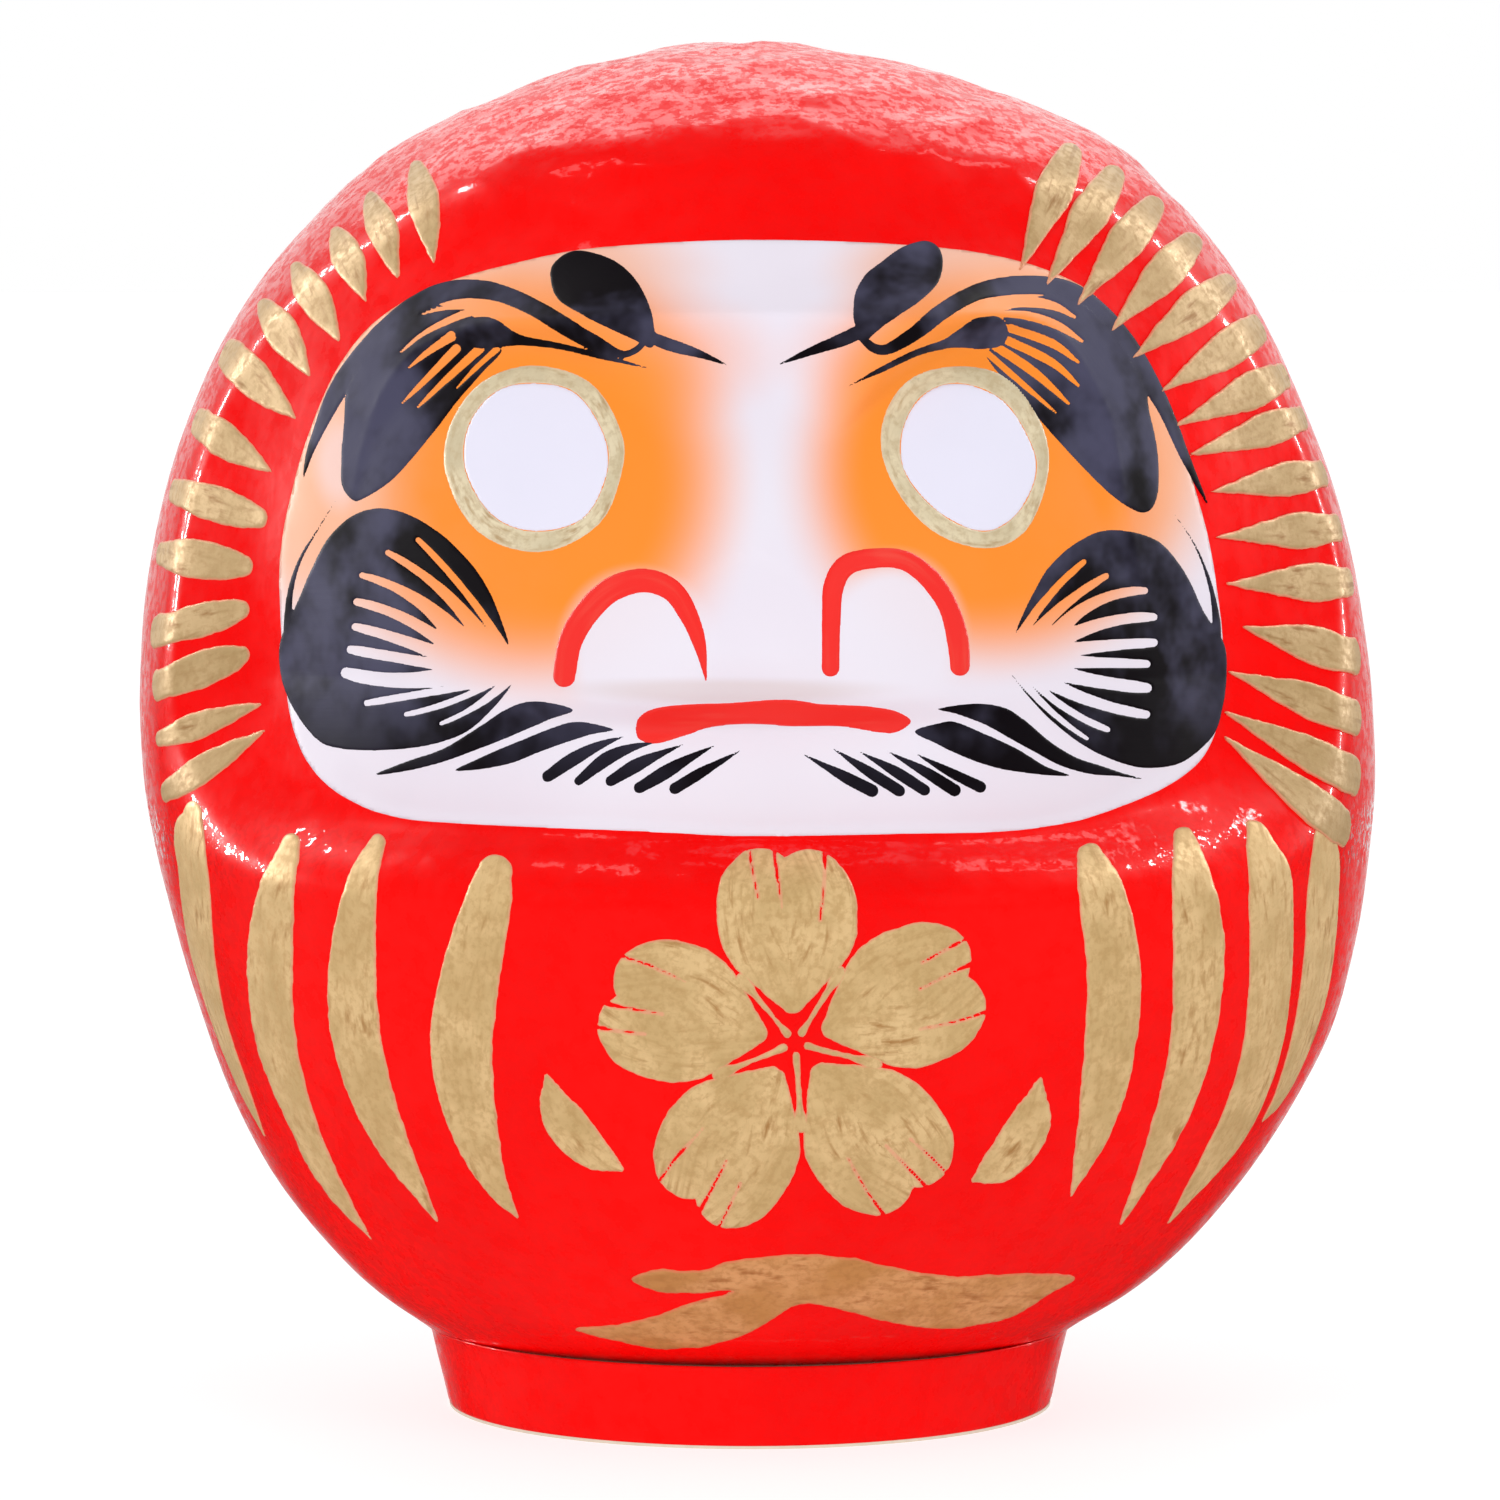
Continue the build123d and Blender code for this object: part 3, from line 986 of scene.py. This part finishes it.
def brow_right():
    dab = [
        (23.2, 153.3), (25, 152.3), (25.5, 150.3), (24.9, 147.8), (22.8, 145.5), (20.2, 143.7),
        (17.6, 142), (15.2, 140.2), (13.8, 142.7), (13.8, 145.9), (15.1, 148.6), (17.6, 150.7),
        (20.2, 152.5),
    ]
    tail = [(14.8, 141.5, 0.93), (12.3, 140.3, 0.93), (8.2, 138.8, 0.6), (3.4, 136.8, 0.04)]
    arm = [
        (15.1, 140.3, 0.53), (16.4, 139.2, 0.66), (18.3, 139.1, 0.73), (21.8, 141.2, 0.93),
        (25.4, 144, 1.06), (29.8, 146.4, 1.12), (34, 147.3, 1.26), (38.4, 147.4, 1.26),
        (41.8, 146.8, 1.26), (44.7, 145.1, 1.26), (47.5, 142.5, 1.26), (49.9, 139.4, 1.32),
        (52.4, 135.3, 1.26), (54.9, 130.8, 0.93), (57.4, 124.9, 0.66), (60.5, 118.5, 0.04),
    ]
    lobe = [
        (52.2, 134.2), (52.7, 130.9), (53.7, 126.5), (54, 122.2), (53.6, 118.9), (52.3, 117.4),
        (50.3, 117.9), (47.3, 120.1), (43.4, 123.9), (38.7, 129.1), (34.4, 133.9), (31, 138.4),
        (33.1, 139.6), (34.1, 141.6), (33.5, 144), (37.1, 145.6), (41.5, 146.4), (46, 143.9),
        (49.8, 139.6),
    ]
    gaps = [
        [(42.9, 143.2, 0.16), (40, 144.7, 0.53), (35.5, 145.3, 0.79), (31.1, 144.4, 0.93)],
        [(43.9, 140, 0.16), (40.8, 142, 0.53), (37.1, 143.3, 0.53), (33.5, 143.7, 0.4)],
        [(43.4, 137.3, 0.16), (40, 139.8, 0.53), (34.4, 141.9, 0.53)],
        [(43.4, 134.2, 0.16), (40, 137.2, 0.53), (34.1, 140.2, 0.56)],
        [(42.1, 131.8, 0.16), (37.7, 135.8, 0.56), (32.3, 139.5, 0.56)],
        [(40.4, 130.6, 0.12), (36.1, 134.3, 0.37), (31.2, 138.6, 0.4)],
    ]
    head = [
        (32, 141.3, 2.12), (30.2, 141.1, 2.05), (28.1, 140.6, 1.32), (25.7, 139.8, 0.66),
        (21.8, 138.6, 0.48), (17.2, 136.3, 0.34), (13, 134.1, 0.04),
    ]
    hairs = Joined([Blob(lobe, 2.2)], [Brush(g) for g in gaps])
    return Joined([hairs, Brush(arm), Blob(dab, 0.9), Brush(tail), Brush(head)])


MOUTH_SHARE = 0.46  # half of a gap's mouth, as a share of the way between its two tips


def beard(lobe, tips, gaps, tail):
    """A cheek's beard: a round lobe whose inner side is combed into pointed hairs.

    The lobe's outline runs from the last tip round the outside to the first. Each gap opens
    between two tips and ends inside the lobe at (x, v, half width), bowed upwards on the way.
    """
    cuts = []
    for (x, v, narrow, bow), a, b in zip(gaps, np.array(tips), np.array(tips[1:])):
        end = np.array([x, v])
        reach = (a + b) / 2 - end
        up = np.array([-reach[1], reach[0]]) / np.hypot(*reach)
        up *= math.copysign(bow, bow * up[1])
        leave = (reach - 4 * up) / np.hypot(*(reach - 4 * up))
        wide = MOUTH_SHARE * abs(leave[0] * (b - a)[1] - leave[1] * (b - a)[0])
        stops = []
        for t in (0, 0.15, 0.4, 0.7, 1.0):
            half = narrow * (0.8 + 0.2 * min(1, t / 0.15)) + max(0, wide - narrow) * t ** 1.7
            stops.append((*(end + t * reach + 4 * t * (1 - t) * up), half))
        stops.append((*(end + reach + 2 * leave), half))
        cuts.append(Brush(stops))
    return Joined([Joined([Blob(lobe + tips)], cuts), Brush(tail)])


def beard_left():
    lobe = [
        (-33.9, 91.5), (-37.2, 88.5), (-41.2, 86.9), (-45.1, 86.2), (-49.8, 85.9), (-54.3, 86.2),
        (-57, 87.2), (-59.5, 90.1), (-61.4, 93.8), (-62.2, 97.4), (-62, 100.6), (-60.9, 103.2),
        (-59.6, 106), (-58.1, 109.6), (-56, 113.6), (-53.3, 116.5), (-50.4, 117.8), (-47.6, 117.9),
        (-44.5, 116.9), (-41.2, 114.9), (-38.2, 112.2), (-35.5, 108.9), (-33.6, 105.3),
    ]
    tips = [
        (-31.8, 99.7), (-34.4, 101.6), (-37.7, 102.2), (-41.4, 102), (-41.5, 99.9), (-42.6, 98.3),
        (-42, 96.7), (-39, 94.6), (-36.3, 94.2), (-33.6, 94.6), (-31.4, 94.8),
    ]
    gaps = [
        (-43.8, 113.8, 0.4, 0.5), (-47.8, 112.1, 0.45, 0.9), (-51.2, 109.1, 0.45, 1.0),
        (-51.9, 105.6, 0.56, 0.6), (-52.1, 102.3, 0.58, 0.2), (-52.7, 99.3, 0.65, 0.0),
        (-53.3, 96.2, 0.86, -0.7), (-50.6, 92.2, 0.45, 0.0), (-45.4, 90.7, 0.34, -0.4),
        (-40.8, 89.5, 0.25, -0.5),
    ]
    tail = [
        (-54.7, 119, 0.04), (-57, 115.3, 0.13), (-59.4, 111.2, 0.24), (-60.7, 106.9, 0.4),
        (-61, 102.6, 0.6), (-60.7, 98, 0.9),
    ]
    return beard(lobe, tips, gaps, tail)


def beard_right():
    lobe = [
        (37.2, 92.5), (40.4, 89.3), (44.2, 86.5), (48, 84.6), (51.9, 83.6), (55.2, 83.8), (57.9, 84.8),
        (61.2, 87.9), (62.5, 91.9), (63, 96.1), (62.7, 99.9), (61.3, 102.2), (59.8, 104.6),
        (58.4, 107.7), (56.8, 110.5), (54.5, 113.2), (51.9, 114.5), (48.7, 115.1), (46.2, 114.9),
        (43.5, 113.7), (41, 111.8), (39, 109.6), (37.5, 107), (36.2, 104.4),
    ]
    tips = [
        (35.1, 101.4), (37.3, 102.4), (39.9, 102.5), (42.7, 102.4), (42.7, 100.3), (43.6, 98.5),
        (42.7, 96.8), (41.3, 95), (39.2, 94), (37.3, 94.4), (34.4, 96.2),
    ]
    gaps = [
        (44.1, 110.9, 0.42, 0.5), (47, 109, 0.48, 0.4), (52.1, 107.1, 0.55, 1.2), (53.3, 103.6, 0.62, 0.6),
        (53.3, 100.2, 0.62, 0.1), (52.4, 97.4, 0.56, 0.0), (52.4, 94.2, 0.75, -0.2),
        (52.3, 90.7, 0.62, -0.5), (47.2, 88.7, 0.42, -0.5), (44.5, 87.5, 0.28, -0.5),
    ]
    tail = [
        (56.1, 117.1, 0.04), (58.4, 113.7, 0.13), (60, 110.2, 0.21), (61.1, 106.4, 0.36),
        (61.6, 102.2, 0.6), (61.2, 97.5, 0.9),
    ]
    return beard(lobe, tips, gaps, tail)


MOUSTACHE_LEFT = [
    [
        (-49.7, 82.7), (-45.1, 84.6), (-40.5, 86.2), (-35.6, 89.2), (-32.6, 91.2), (-29.6, 92.4),
        (-26.3, 92.3), (-23.3, 91.3), (-26.6, 90), (-30.6, 88.2), (-35.6, 86.2), (-40.5, 84.4),
        (-45.4, 83.2),
    ],
    [
        (-39, 83.2), (-35.2, 85.2), (-31.2, 86.9), (-27.3, 88.5), (-24, 89.7), (-21.4, 89.7),
        (-17.9, 88.7), (-21.4, 87.9), (-27.3, 85.9), (-32.3, 84),
    ],
]
MOUSTACHE_RIGHT = [
    [
        (52.6, 82), (49.4, 82.9), (46.5, 83.9), (43.2, 85), (40.2, 86.7), (38, 88.5), (35.8, 90.3),
        (33.4, 91.7), (29.5, 92.2), (24.7, 91.5), (27.3, 90.8), (31.1, 89.3), (34.3, 87.5),
        (37.9, 85.5), (41, 83.9), (44.9, 82.8), (48.7, 82.5),
    ],
    [
        (42.4, 82.5), (39, 83.9), (35.2, 86.2), (31.1, 88.1), (27.3, 89.7), (25.3, 89.7), (21.7, 88.5),
        (24.6, 86.8), (27.9, 85.2), (31.8, 83.8), (35.9, 83),
    ],
]
CHIN_LEFT = [
    [(-26.7, 82.5, 0.79), (-23.3, 84.8, 0.93), (-19.9, 86.6, 0.6), (-16.6, 87.8, 0.04)],
    [(-22.6, 81.9, 0.6), (-19.1, 84.7, 0.93), (-15.9, 86.2, 0.6), (-12.3, 87.1, 0.04)],
    [(-18.4, 81.9, 0.73), (-15.1, 83.9, 0.93), (-12, 85.4, 0.53), (-8.6, 86.8, 0.04)],
    [(-14.6, 81, 0.79), (-10.9, 83.2, 0.93), (-7.8, 85, 0.53), (-4.4, 86.7, 0.04)],
    [(-9.9, 80.9, 0.79), (-6.6, 82.9, 0.73), (-1.1, 86, 0.04)],
]
CHIN_RIGHT = [
    [(16.1, 80.6, 0.86), (12.8, 82.3, 0.79), (6.9, 85.5, 0.04)],
    [(19.7, 80.6, 0.79), (15.6, 83.2, 0.73), (10.9, 86.2, 0.04)],
    [(23, 80.7, 0.79), (19.1, 83.2, 0.73), (14.2, 85.9, 0.04)],
    [(27, 80.7, 0.86), (23.3, 83, 0.73), (18, 85.9, 0.04)],
    [(30.4, 81.1, 0.79), (26.5, 83, 0.66), (21.9, 85.5, 0.04)],
]
MOUTH = [
    (-15.1, 88.7), (-14.6, 90.5), (-12.3, 91.7), (-7.8, 92.2), (-2, 92.4), (4.6, 92.8), (9.7, 92.2),
    (15.5, 91.9), (19.1, 91.3), (21.3, 89.9), (19.5, 88.4), (17.1, 88.3), (11.6, 89.2), (5.8, 89.2),
    (0, 89.5), (-5, 89.1), (-8.2, 88), (-12.4, 86.8), (-14.6, 87.4),
]
NOSTRILS = [
    [
        (-24.5, 95.8, 1.52), (-23.7, 100.3, 1.59), (-21.4, 104.3, 1.65), (-18.1, 107.3, 1.65),
        (-13.9, 108.4, 1.59), (-10.3, 107.1, 1.46), (-8.1, 103.9, 1.26), (-6.6, 99.9, 0.86),
        (-5.7, 94.9, 0.07),
    ],
    [
        (10.6, 96.9, 1.19), (10.7, 103.5, 1.26), (11.1, 107.9, 1.39), (13, 110.6, 1.39),
        (17.5, 111.4, 1.32), (20.9, 110.8, 1.32), (24, 108.3, 1.39), (26.2, 104.8, 1.32),
        (27.4, 100.6, 1.46), (27.7, 97.1, 1.32),
    ],
]

# Gold strokes across the hood's ridge: outer end, inner tip, width
HOOD_LEFT = [
    (-44.1, 163.8, -41.8, 150.4, 4.3), (-50.2, 159.6, -46.6, 148.5, 4.3),
    (-54.8, 155.0, -50.8, 145.3, 4.3), (-60.2, 150.3, -54.3, 140.0, 4.5),
    (-64.5, 145.4, -58.3, 135.5, 4.6), (-69.5, 138.8, -60.0, 129.8, 4.7),
    (-73.4, 129.6, -63.3, 122.8, 4.6),
]
HOOD_LEFT_LOW = [
    (-76.6, 120.4, -63.8, 116.4, 4.8), (-78.4, 112.0, -65.9, 110.2, 5.2),
    (-78.9, 101.6, -66.2, 104.8, 4.4), (-78.6, 94.5, -66.4, 98.9, 4.8),
]
HOOD_LEFT_LOWEST = [(-78.4, 87.4, -64.3, 92.2, 3.6), (-77.6, 80.3, -64.0, 88.7, 3.6)]
HOOD_RIGHT = [
    (42.6, 165.6, 35.7, 149.5, 5.0), (48.4, 162.6, 39.0, 147.2, 5.0), (53.7, 158.5, 43.2, 144.8, 5.0),
    (58.8, 153.6, 47.7, 141.4, 5.0), (63.5, 148.0, 50.5, 137.8, 5.0), (67.5, 141.9, 54.4, 133.5, 4.9),
    (70.8, 135.6, 56.4, 129.0, 4.9), (73.2, 130.0, 58.0, 125.0, 4.6), (75.8, 122.6, 61.0, 120.2, 4.6),
    (77.8, 115.4, 61.7, 114.2, 4.8), (79.3, 108.2, 63.1, 108.0, 5.0), (80.0, 98.3, 64.9, 102.4, 4.9),
    (80.1, 90.2, 63.2, 96.4, 4.7), (80.0, 82.4, 62.8, 91.0, 4.5), (78.5, 75.6, 62.6, 87.8, 4.2),
]
ROBE_LEFT = [
    [
        (-73.7, 77, 1.19), (-74, 69.9, 2.25), (-73.3, 60.9, 2.05), (-71.2, 51.2, 1.59),
        (-67.8, 42.4, 1.06), (-64.3, 35.1, 0.07),
    ],
    [
        (-60.6, 73.9, 1.19), (-62.6, 67.5, 2.38), (-63.5, 59.4, 3.04), (-62.9, 48.4, 2.71),
        (-59.7, 37.9, 1.92), (-55.3, 28.5, 1.32), (-50, 21.2, 0.07),
    ],
    [
        (-49.2, 73.9, 1.06), (-51.2, 68.8, 1.99), (-52.4, 60.9, 2.91), (-52.5, 51, 3.31),
        (-50.3, 41, 2.91), (-46.2, 31.8, 1.85), (-41.3, 23.6, 0.13),
    ],
    [
        (-33.7, 69.9, 2.25), (-34.8, 65.5, 3.18), (-37.1, 55.6, 3.97), (-38.2, 46.3, 4.1),
        (-36.8, 37.1, 3.31), (-34, 29.1, 1.72), (-30.6, 24, 0.13),
    ],
]
ROBE_RIGHT = [
    [
        (45, 72, 1.72), (46.7, 66.2, 3.18), (48.2, 56.1, 3.57), (47.4, 45, 3.31), (45.5, 35.7, 2.25),
        (42.4, 26.9, 0.13),
    ],
    [
        (57.4, 74.6, 1.32), (58.5, 68.8, 2.65), (59.4, 59.6, 3.44), (58.5, 47.6, 2.91),
        (55.3, 36.4, 2.12), (49, 23.2, 0.13),
    ],
    [
        (67.4, 74.9, 1.32), (68.6, 68.8, 2.65), (69.2, 58.2, 2.91), (67.8, 46.3, 2.51),
        (63.8, 35.7, 1.99), (55.5, 23.6, 0.13),
    ],
    [
        (75.7, 73.7, 1.19), (76, 68.2, 2.12), (75.7, 59.6, 2.25), (74.1, 50.3, 1.85),
        (71.2, 41.7, 1.19), (68, 37.1, 0.13),
    ],
]
FLOURISH = [
    (-15.7, 16), (-12.3, 17.2), (-6.2, 17.2), (-2.5, 18.4), (6, 19.3), (13.2, 18.8), (19.3, 17.5),
    (26.6, 16.4), (35.7, 16.7), (43, 16.3), (38.8, 13.5), (33.9, 10.7), (25.4, 9.4), (17.5, 10.5),
    (12, 11.9), (6.5, 12.7), (1.1, 9.5), (-4.4, 7.4), (-11.1, 6.7), (-17.2, 7.7), (-23.4, 9.4),
    (-18.9, 9.8), (-14.2, 10.7), (-8.6, 12.6), (-2.2, 14.4), (-7.4, 14.2), (-12.3, 14.4),
]


SIDE_REACH = 66.0  # strokes that start further out than this run round the doll's side


def side_stroke(points, canvas):
    """A stroke that runs round the doll's side where it nears the edge of the view."""
    reach = points[0][0]
    if abs(reach) < SIDE_REACH:
        return Brush(points)
    return canvas.turned_stroke(points, math.copysign(45, reach))


# How a dab's width runs from its outer end to its inner one: (share of its length, of its width)
LEAF = [(0.0, 0.45), (0.16, 0.8), (0.36, 1.0), (0.62, 0.72), (0.85, 0.34), (1.0, 0.04)]
CARROT = [(0.0, 0.68), (0.16, 0.92), (0.32, 1.0), (0.56, 0.7), (0.78, 0.36), (1.0, 0.04)]
PRESSED = [(0.0, 0.6), (0.2, 0.88), (0.45, 1.0), (0.75, 0.82), (0.93, 0.5)]


def hood_stroke(outer_x, outer_v, inner_x, inner_v, wide, widths):
    """One gold dab across the hood's ridge, with its widths from the outer end to the inner one."""
    outer = np.array([outer_x, outer_v])
    inner = np.array([inner_x, inner_v])
    reach = inner - outer
    half = wide / 2
    capped = 0.7 if abs(outer_x) < SIDE_REACH else 0.15  # a round end shows end-on at the side
    start = capped * widths[0][1] * half / np.hypot(*reach)
    stops = [(start + t * (1 - start), w) for t, w in widths]
    return [(*(outer + t * reach), half * w) for t, w in stops]


BLOSSOM_CENTRE = np.array([6.0, 47.2])
BLOSSOM_TURN = 94.0  # degrees round to the first petal


def round_blossom(degrees, stops):
    """A brush chain from stops (out from the centre, aside, half width) in the given direction."""
    turn = math.radians(BLOSSOM_TURN + degrees)
    out = np.array([math.cos(turn), math.sin(turn)])
    side = np.array([-out[1], out[0]])
    return Brush([(*(BLOSSOM_CENTRE + r * out + a * side), w) for r, a, w in stops])


def petal(degrees):
    """A petal in two brush dabs side by side, with dry hairlines where the brush lifted."""
    left = [(5.2, 0.2, 1.3), (9.5, 1.6, 3.4), (14.5, 3.6, 5.2), (19.5, 3.8, 5.2), (21.5, 3.2, 4.6)]
    right = [
        (5.2, -0.2, 1.3), (9.5, -1.6, 3.4), (14.5, -3.6, 5.4), (18.5, -3.9, 5.4), (20.5, -3.3, 5.0),
    ]
    dry = [
        [(27.0, 1.1, 0.28), (23.0, 0.9, 0.2), (18.0, 0.5, 0.03)],
        [(27.0, 4.4, 0.16), (23.5, 4.1, 0.12), (19.5, 3.6, 0.02)],
        [(25.0, -5.6, 0.18), (21.0, -5.3, 0.12), (16.0, -4.4, 0.02)],
    ]
    dabs = [round_blossom(degrees, stops) for stops in (left, right)]
    return Joined(dabs, [round_blossom(degrees, stops) for stops in dry])


def blossom():
    """A plum blossom with stamens and two leaves, for the front of the robe."""
    stamen = [(1.6, 0, 0.5), (4.0, 0, 0.35), (8.0, 0, 0.4), (10.0, 0, 0.9), (11.0, 0, 0.9)]
    left_leaf = [(-17.0, 30.5, 0.3), (-21.0, 33.0, 2.3), (-25.0, 37.5, 2.6), (-27.0, 43.0, 0.2)]
    right_leaf = [(29.5, 29.0, 0.3), (33.5, 31.5, 2.5), (37.0, 36.5, 2.7), (38.5, 42.5, 0.2)]
    shapes = [petal(72 * n) for n in range(5)]
    shapes += [round_blossom(72 * n - 36, stamen) for n in range(5)]
    return shapes + [Brush(left_leaf), Brush(right_leaf)]


# ---------------------------------------------------------------- building the doll

grid, crown = shell_surface()
canvas = Canvas(grid, crown)
red = red_lacquer()
gold = gold_paint("gold_paint", (0.685, 0.46, 0.204), 0.2, (0.95, 0.40, 0.25))
# painted shade: the robe's gold, darkened for the hood strokes where the lights fall more strongly
shaded_hood_gold = gold_paint("shaded_hood_gold_paint", (0.52, 0.345, 0.155), 0.2, (0.95, 0.36, 0.22))
bronze = gold_paint("bronze_paint", (0.565, 0.242, 0.07), 0.08, (0.8, 0.2, 0.1))
black = ink()
scarlet = red_brush()

shell = shell_mesh(grid, crown, red)
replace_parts(shell, "body_shell")
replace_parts(foot_mesh(red), "foot_band")

paint("face_coat", [Blob(FACE_EDGE)], face_paint(), "face_paint", canvas,
      step=0.55, thick=0.15, rim=0.7)
ON_FACE = 0.13  # how far what's painted on the face coat stands off the shell
ON_BROW = 0.24  # the same for what's painted over the brow
ring = gold_paint("eye_ring_gold", (0.66, 0.56, 0.37), 0.12, (0.80, 0.66, 0.48))
white = eye_paint()
for side, outer, inner in (("left", RING_LEFT, EYE_LEFT), ("right", RING_RIGHT, EYE_RIGHT)):
    eye = Blob(inner)
    band = Joined([Blob(outer, None)], [eye])
    paint(f"eye_ring_{side}", [band], ring, "gold_paint", canvas, step=0.3, lift=ON_FACE)
    paint(f"eye_white_{side}", [eye], white, "eye_paint", canvas, step=0.4, lift=ON_FACE)

strip_low, strip_high = (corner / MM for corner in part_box("back_seam_strip"))
left, _, bottom = strip_low
right, _, top = strip_high
middle = (bottom + top) / 2
seam = [
    (left, bottom), (0, bottom), (right, bottom), (right, middle), (right, top), (0, top),
    (left, top), (left, middle),
]
strip = paint("pasted_seam_strip", [Blob(seam, turn=180)], red, "strip_paint", canvas,
              step=0.5, thick=0.4, rim=0.6, wobble=0.3)
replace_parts(strip, "back_seam_strip")

INK = {"slot": "black_ink", "canvas": canvas, "step": 0.25, "thick": 0.1, "rim": 0.3, "lift": ON_FACE}
paint("brow_left", [brow_left()], black, **INK)
paint("brow_right", [brow_right()], black, **INK)
paint("beard_left", [beard_left()], black, **INK)
paint("beard_right", [beard_right()], black, **INK)
paint("moustache_left", [Blob(o, 0.5) for o in MOUSTACHE_LEFT], black, **INK)
paint("moustache_right", [Blob(o, 2.6) for o in MOUSTACHE_RIGHT], black, **INK)
paint("chin_hairs_left", [Brush(p) for p in CHIN_LEFT], black, **INK)
paint("chin_hairs_right", [Brush(p) for p in CHIN_RIGHT], black, **INK)

LIPS = {"slot": "red_lacquer", "canvas": canvas, "step": 0.28, "lift": ON_FACE}
paint("mouth", [Blob(MOUTH)], scarlet, **LIPS)
paint("nostril_lines", [Brush(p) for p in NOSTRILS], scarlet, **LIPS)

GILT = {"slot": "gold_paint", "canvas": canvas, "step": 0.32, "thick": 0.16, "rim": 0.5, "wobble": 0.16}
dabs = [hood_stroke(*row, LEAF) for row in HOOD_LEFT + HOOD_LEFT_LOWEST]
dabs += [hood_stroke(*row, PRESSED) for row in HOOD_LEFT_LOW]
paint("hood_strokes_left", [side_stroke(p, canvas) for p in dabs], shaded_hood_gold, **GILT)
dabs = [hood_stroke(*row, CARROT) for row in HOOD_RIGHT]
paint("hood_strokes_right", [side_stroke(p, canvas) for p in dabs], shaded_hood_gold, lift=ON_BROW, **GILT)
paint("robe_stripes_left", [side_stroke(p, canvas) for p in ROBE_LEFT], gold, **GILT)
paint("robe_stripes_right", [side_stroke(p, canvas) for p in ROBE_RIGHT], gold, **GILT)
paint("belly_blossom", blossom(), gold, **GILT)
paint("base_flourish", [Blob(FLOURISH)], bronze, **GILT)

for node, material in (("clay_weight", clay()), ("underside_paper", plain_paper())):
    mesh = frame["nodes"][node].data
    mesh.materials.clear()
    mesh.materials.append(material)
    mesh.shade_smooth()


# ---------------------------------------------------------------- the studio

SOFT_LIGHT = 0.68  # what the surroundings give matt surfaces
BACKDROP = (0.0, 0.9, 0.44)  # the direction reflections are brightest in
FLOOR_HALF = 4.0  # metres; it runs well past the picture


def sweep():
    """The pale floor."""
    corners = [(x * FLOOR_HALF, y * FLOOR_HALF, 0) for x, y in ((-1, -1), (1, -1), (1, 1), (-1, 1))]
    mesh = bpy.data.meshes.new("floor")
    mesh.from_pydata(corners, [], [(0, 1, 2, 3)])
    mesh.materials.append(studio_floor())
    floor = bpy.data.objects.new("floor", mesh)
    bpy.context.scene.collection.objects.link(floor)
    floor.visible_glossy = False


def soft_light(name, place, width, tall, power, mirrored):
    """A rectangular softbox aimed at the doll's middle; a mirrored one shows only as a highlight."""
    data = bpy.data.lights.new(name, "AREA")
    data.shape = "RECTANGLE"
    data.size = width
    data.size_y = tall
    data.energy = power
    light = bpy.data.objects.new(name, data)
    light.location = place
    light.rotation_euler = (Vector(AIM) * MM - Vector(place)).to_track_quat("-Z", "Y").to_euler()
    light.visible_glossy = mirrored
    light.visible_diffuse = not mirrored
    bpy.context.scene.collection.objects.link(light)


def world():
    """White behind the doll; its reflection is dark in front and bright behind."""
    scene_world = bpy.data.worlds.new("studio")
    scene_world.use_nodes = True
    scene_world.cycles.sampling_method = "NONE"
    w = Nodes(scene_world.node_tree)
    path = w.node("ShaderNodeLightPath").outputs
    direction = w.node("ShaderNodeTexCoord").outputs["Generated"]
    reflected = w.spread(w.vector("DOT_PRODUCT", direction, BACKDROP, "Value"), 0.6, 1.0, 0.03, 1.3)
    soft = w.node("ShaderNodeMix", Factor=path["Is Glossy Ray"], A=SOFT_LIGHT, B=reflected)
    strength = w.node("ShaderNodeMix", Factor=path["Is Camera Ray"], A=soft.outputs["Result"], B=1.0)
    background = w.tree.nodes["Background"].inputs
    background["Color"].default_value = (1, 1, 1, 1)
    w.feed(background["Strength"], strength.outputs["Result"])
    bpy.context.scene.world = scene_world


def camera():
    """The camera, in front and a little above, looking at the doll's middle."""
    data = bpy.data.cameras.new("camera")
    data.lens = data.sensor_width * VIEW_DISTANCE / SHEET_SPAN
    data.clip_end = 20
    viewer = bpy.data.objects.new("camera", data)
    viewer.location = Vector(EYE) * MM
    viewer.rotation_euler = (math.radians(90) - VIEW_TILT, 0, 0)
    bpy.context.scene.collection.objects.link(viewer)
    bpy.context.scene.camera = viewer


# Name, place in metres, width, height, watts, and whether it shows as a highlight
LIGHTS = [
    ("key_left", (-0.9, -1.1, 0.75), 0.6, 0.9, 5.5, False),
    ("key_right", (0.9, -1.1, 0.75), 0.6, 0.9, 5, False),
    ("edge_left", (-1.25, 0.6, 0.72), 0.12, 1.3, 20, True),
    ("edge_right", (1.25, 0.6, 0.72), 0.12, 1.3, 17, True),
    ("side_left", (-1.3, 0.28, 0.28), 0.16, 0.2, 6, True),
    ("side_right", (0.8, 0.25, 1.12), 0.12, 0.12, 1.2, True),
    ("crown", (0.0, 1.0, 1.05), 1.7, 0.65, 4.5, True),
    ("glance_left", (-0.45, -0.2, 1.35), 0.25, 0.25, 0.5, True),
    ("glance_right", (0.5, 0.3, 1.3), 0.25, 0.25, 0.5, True),
]
sweep()
for row in LIGHTS:
    soft_light(*row)
world()
camera()
bpy.context.scene.view_settings.view_transform = "Standard"
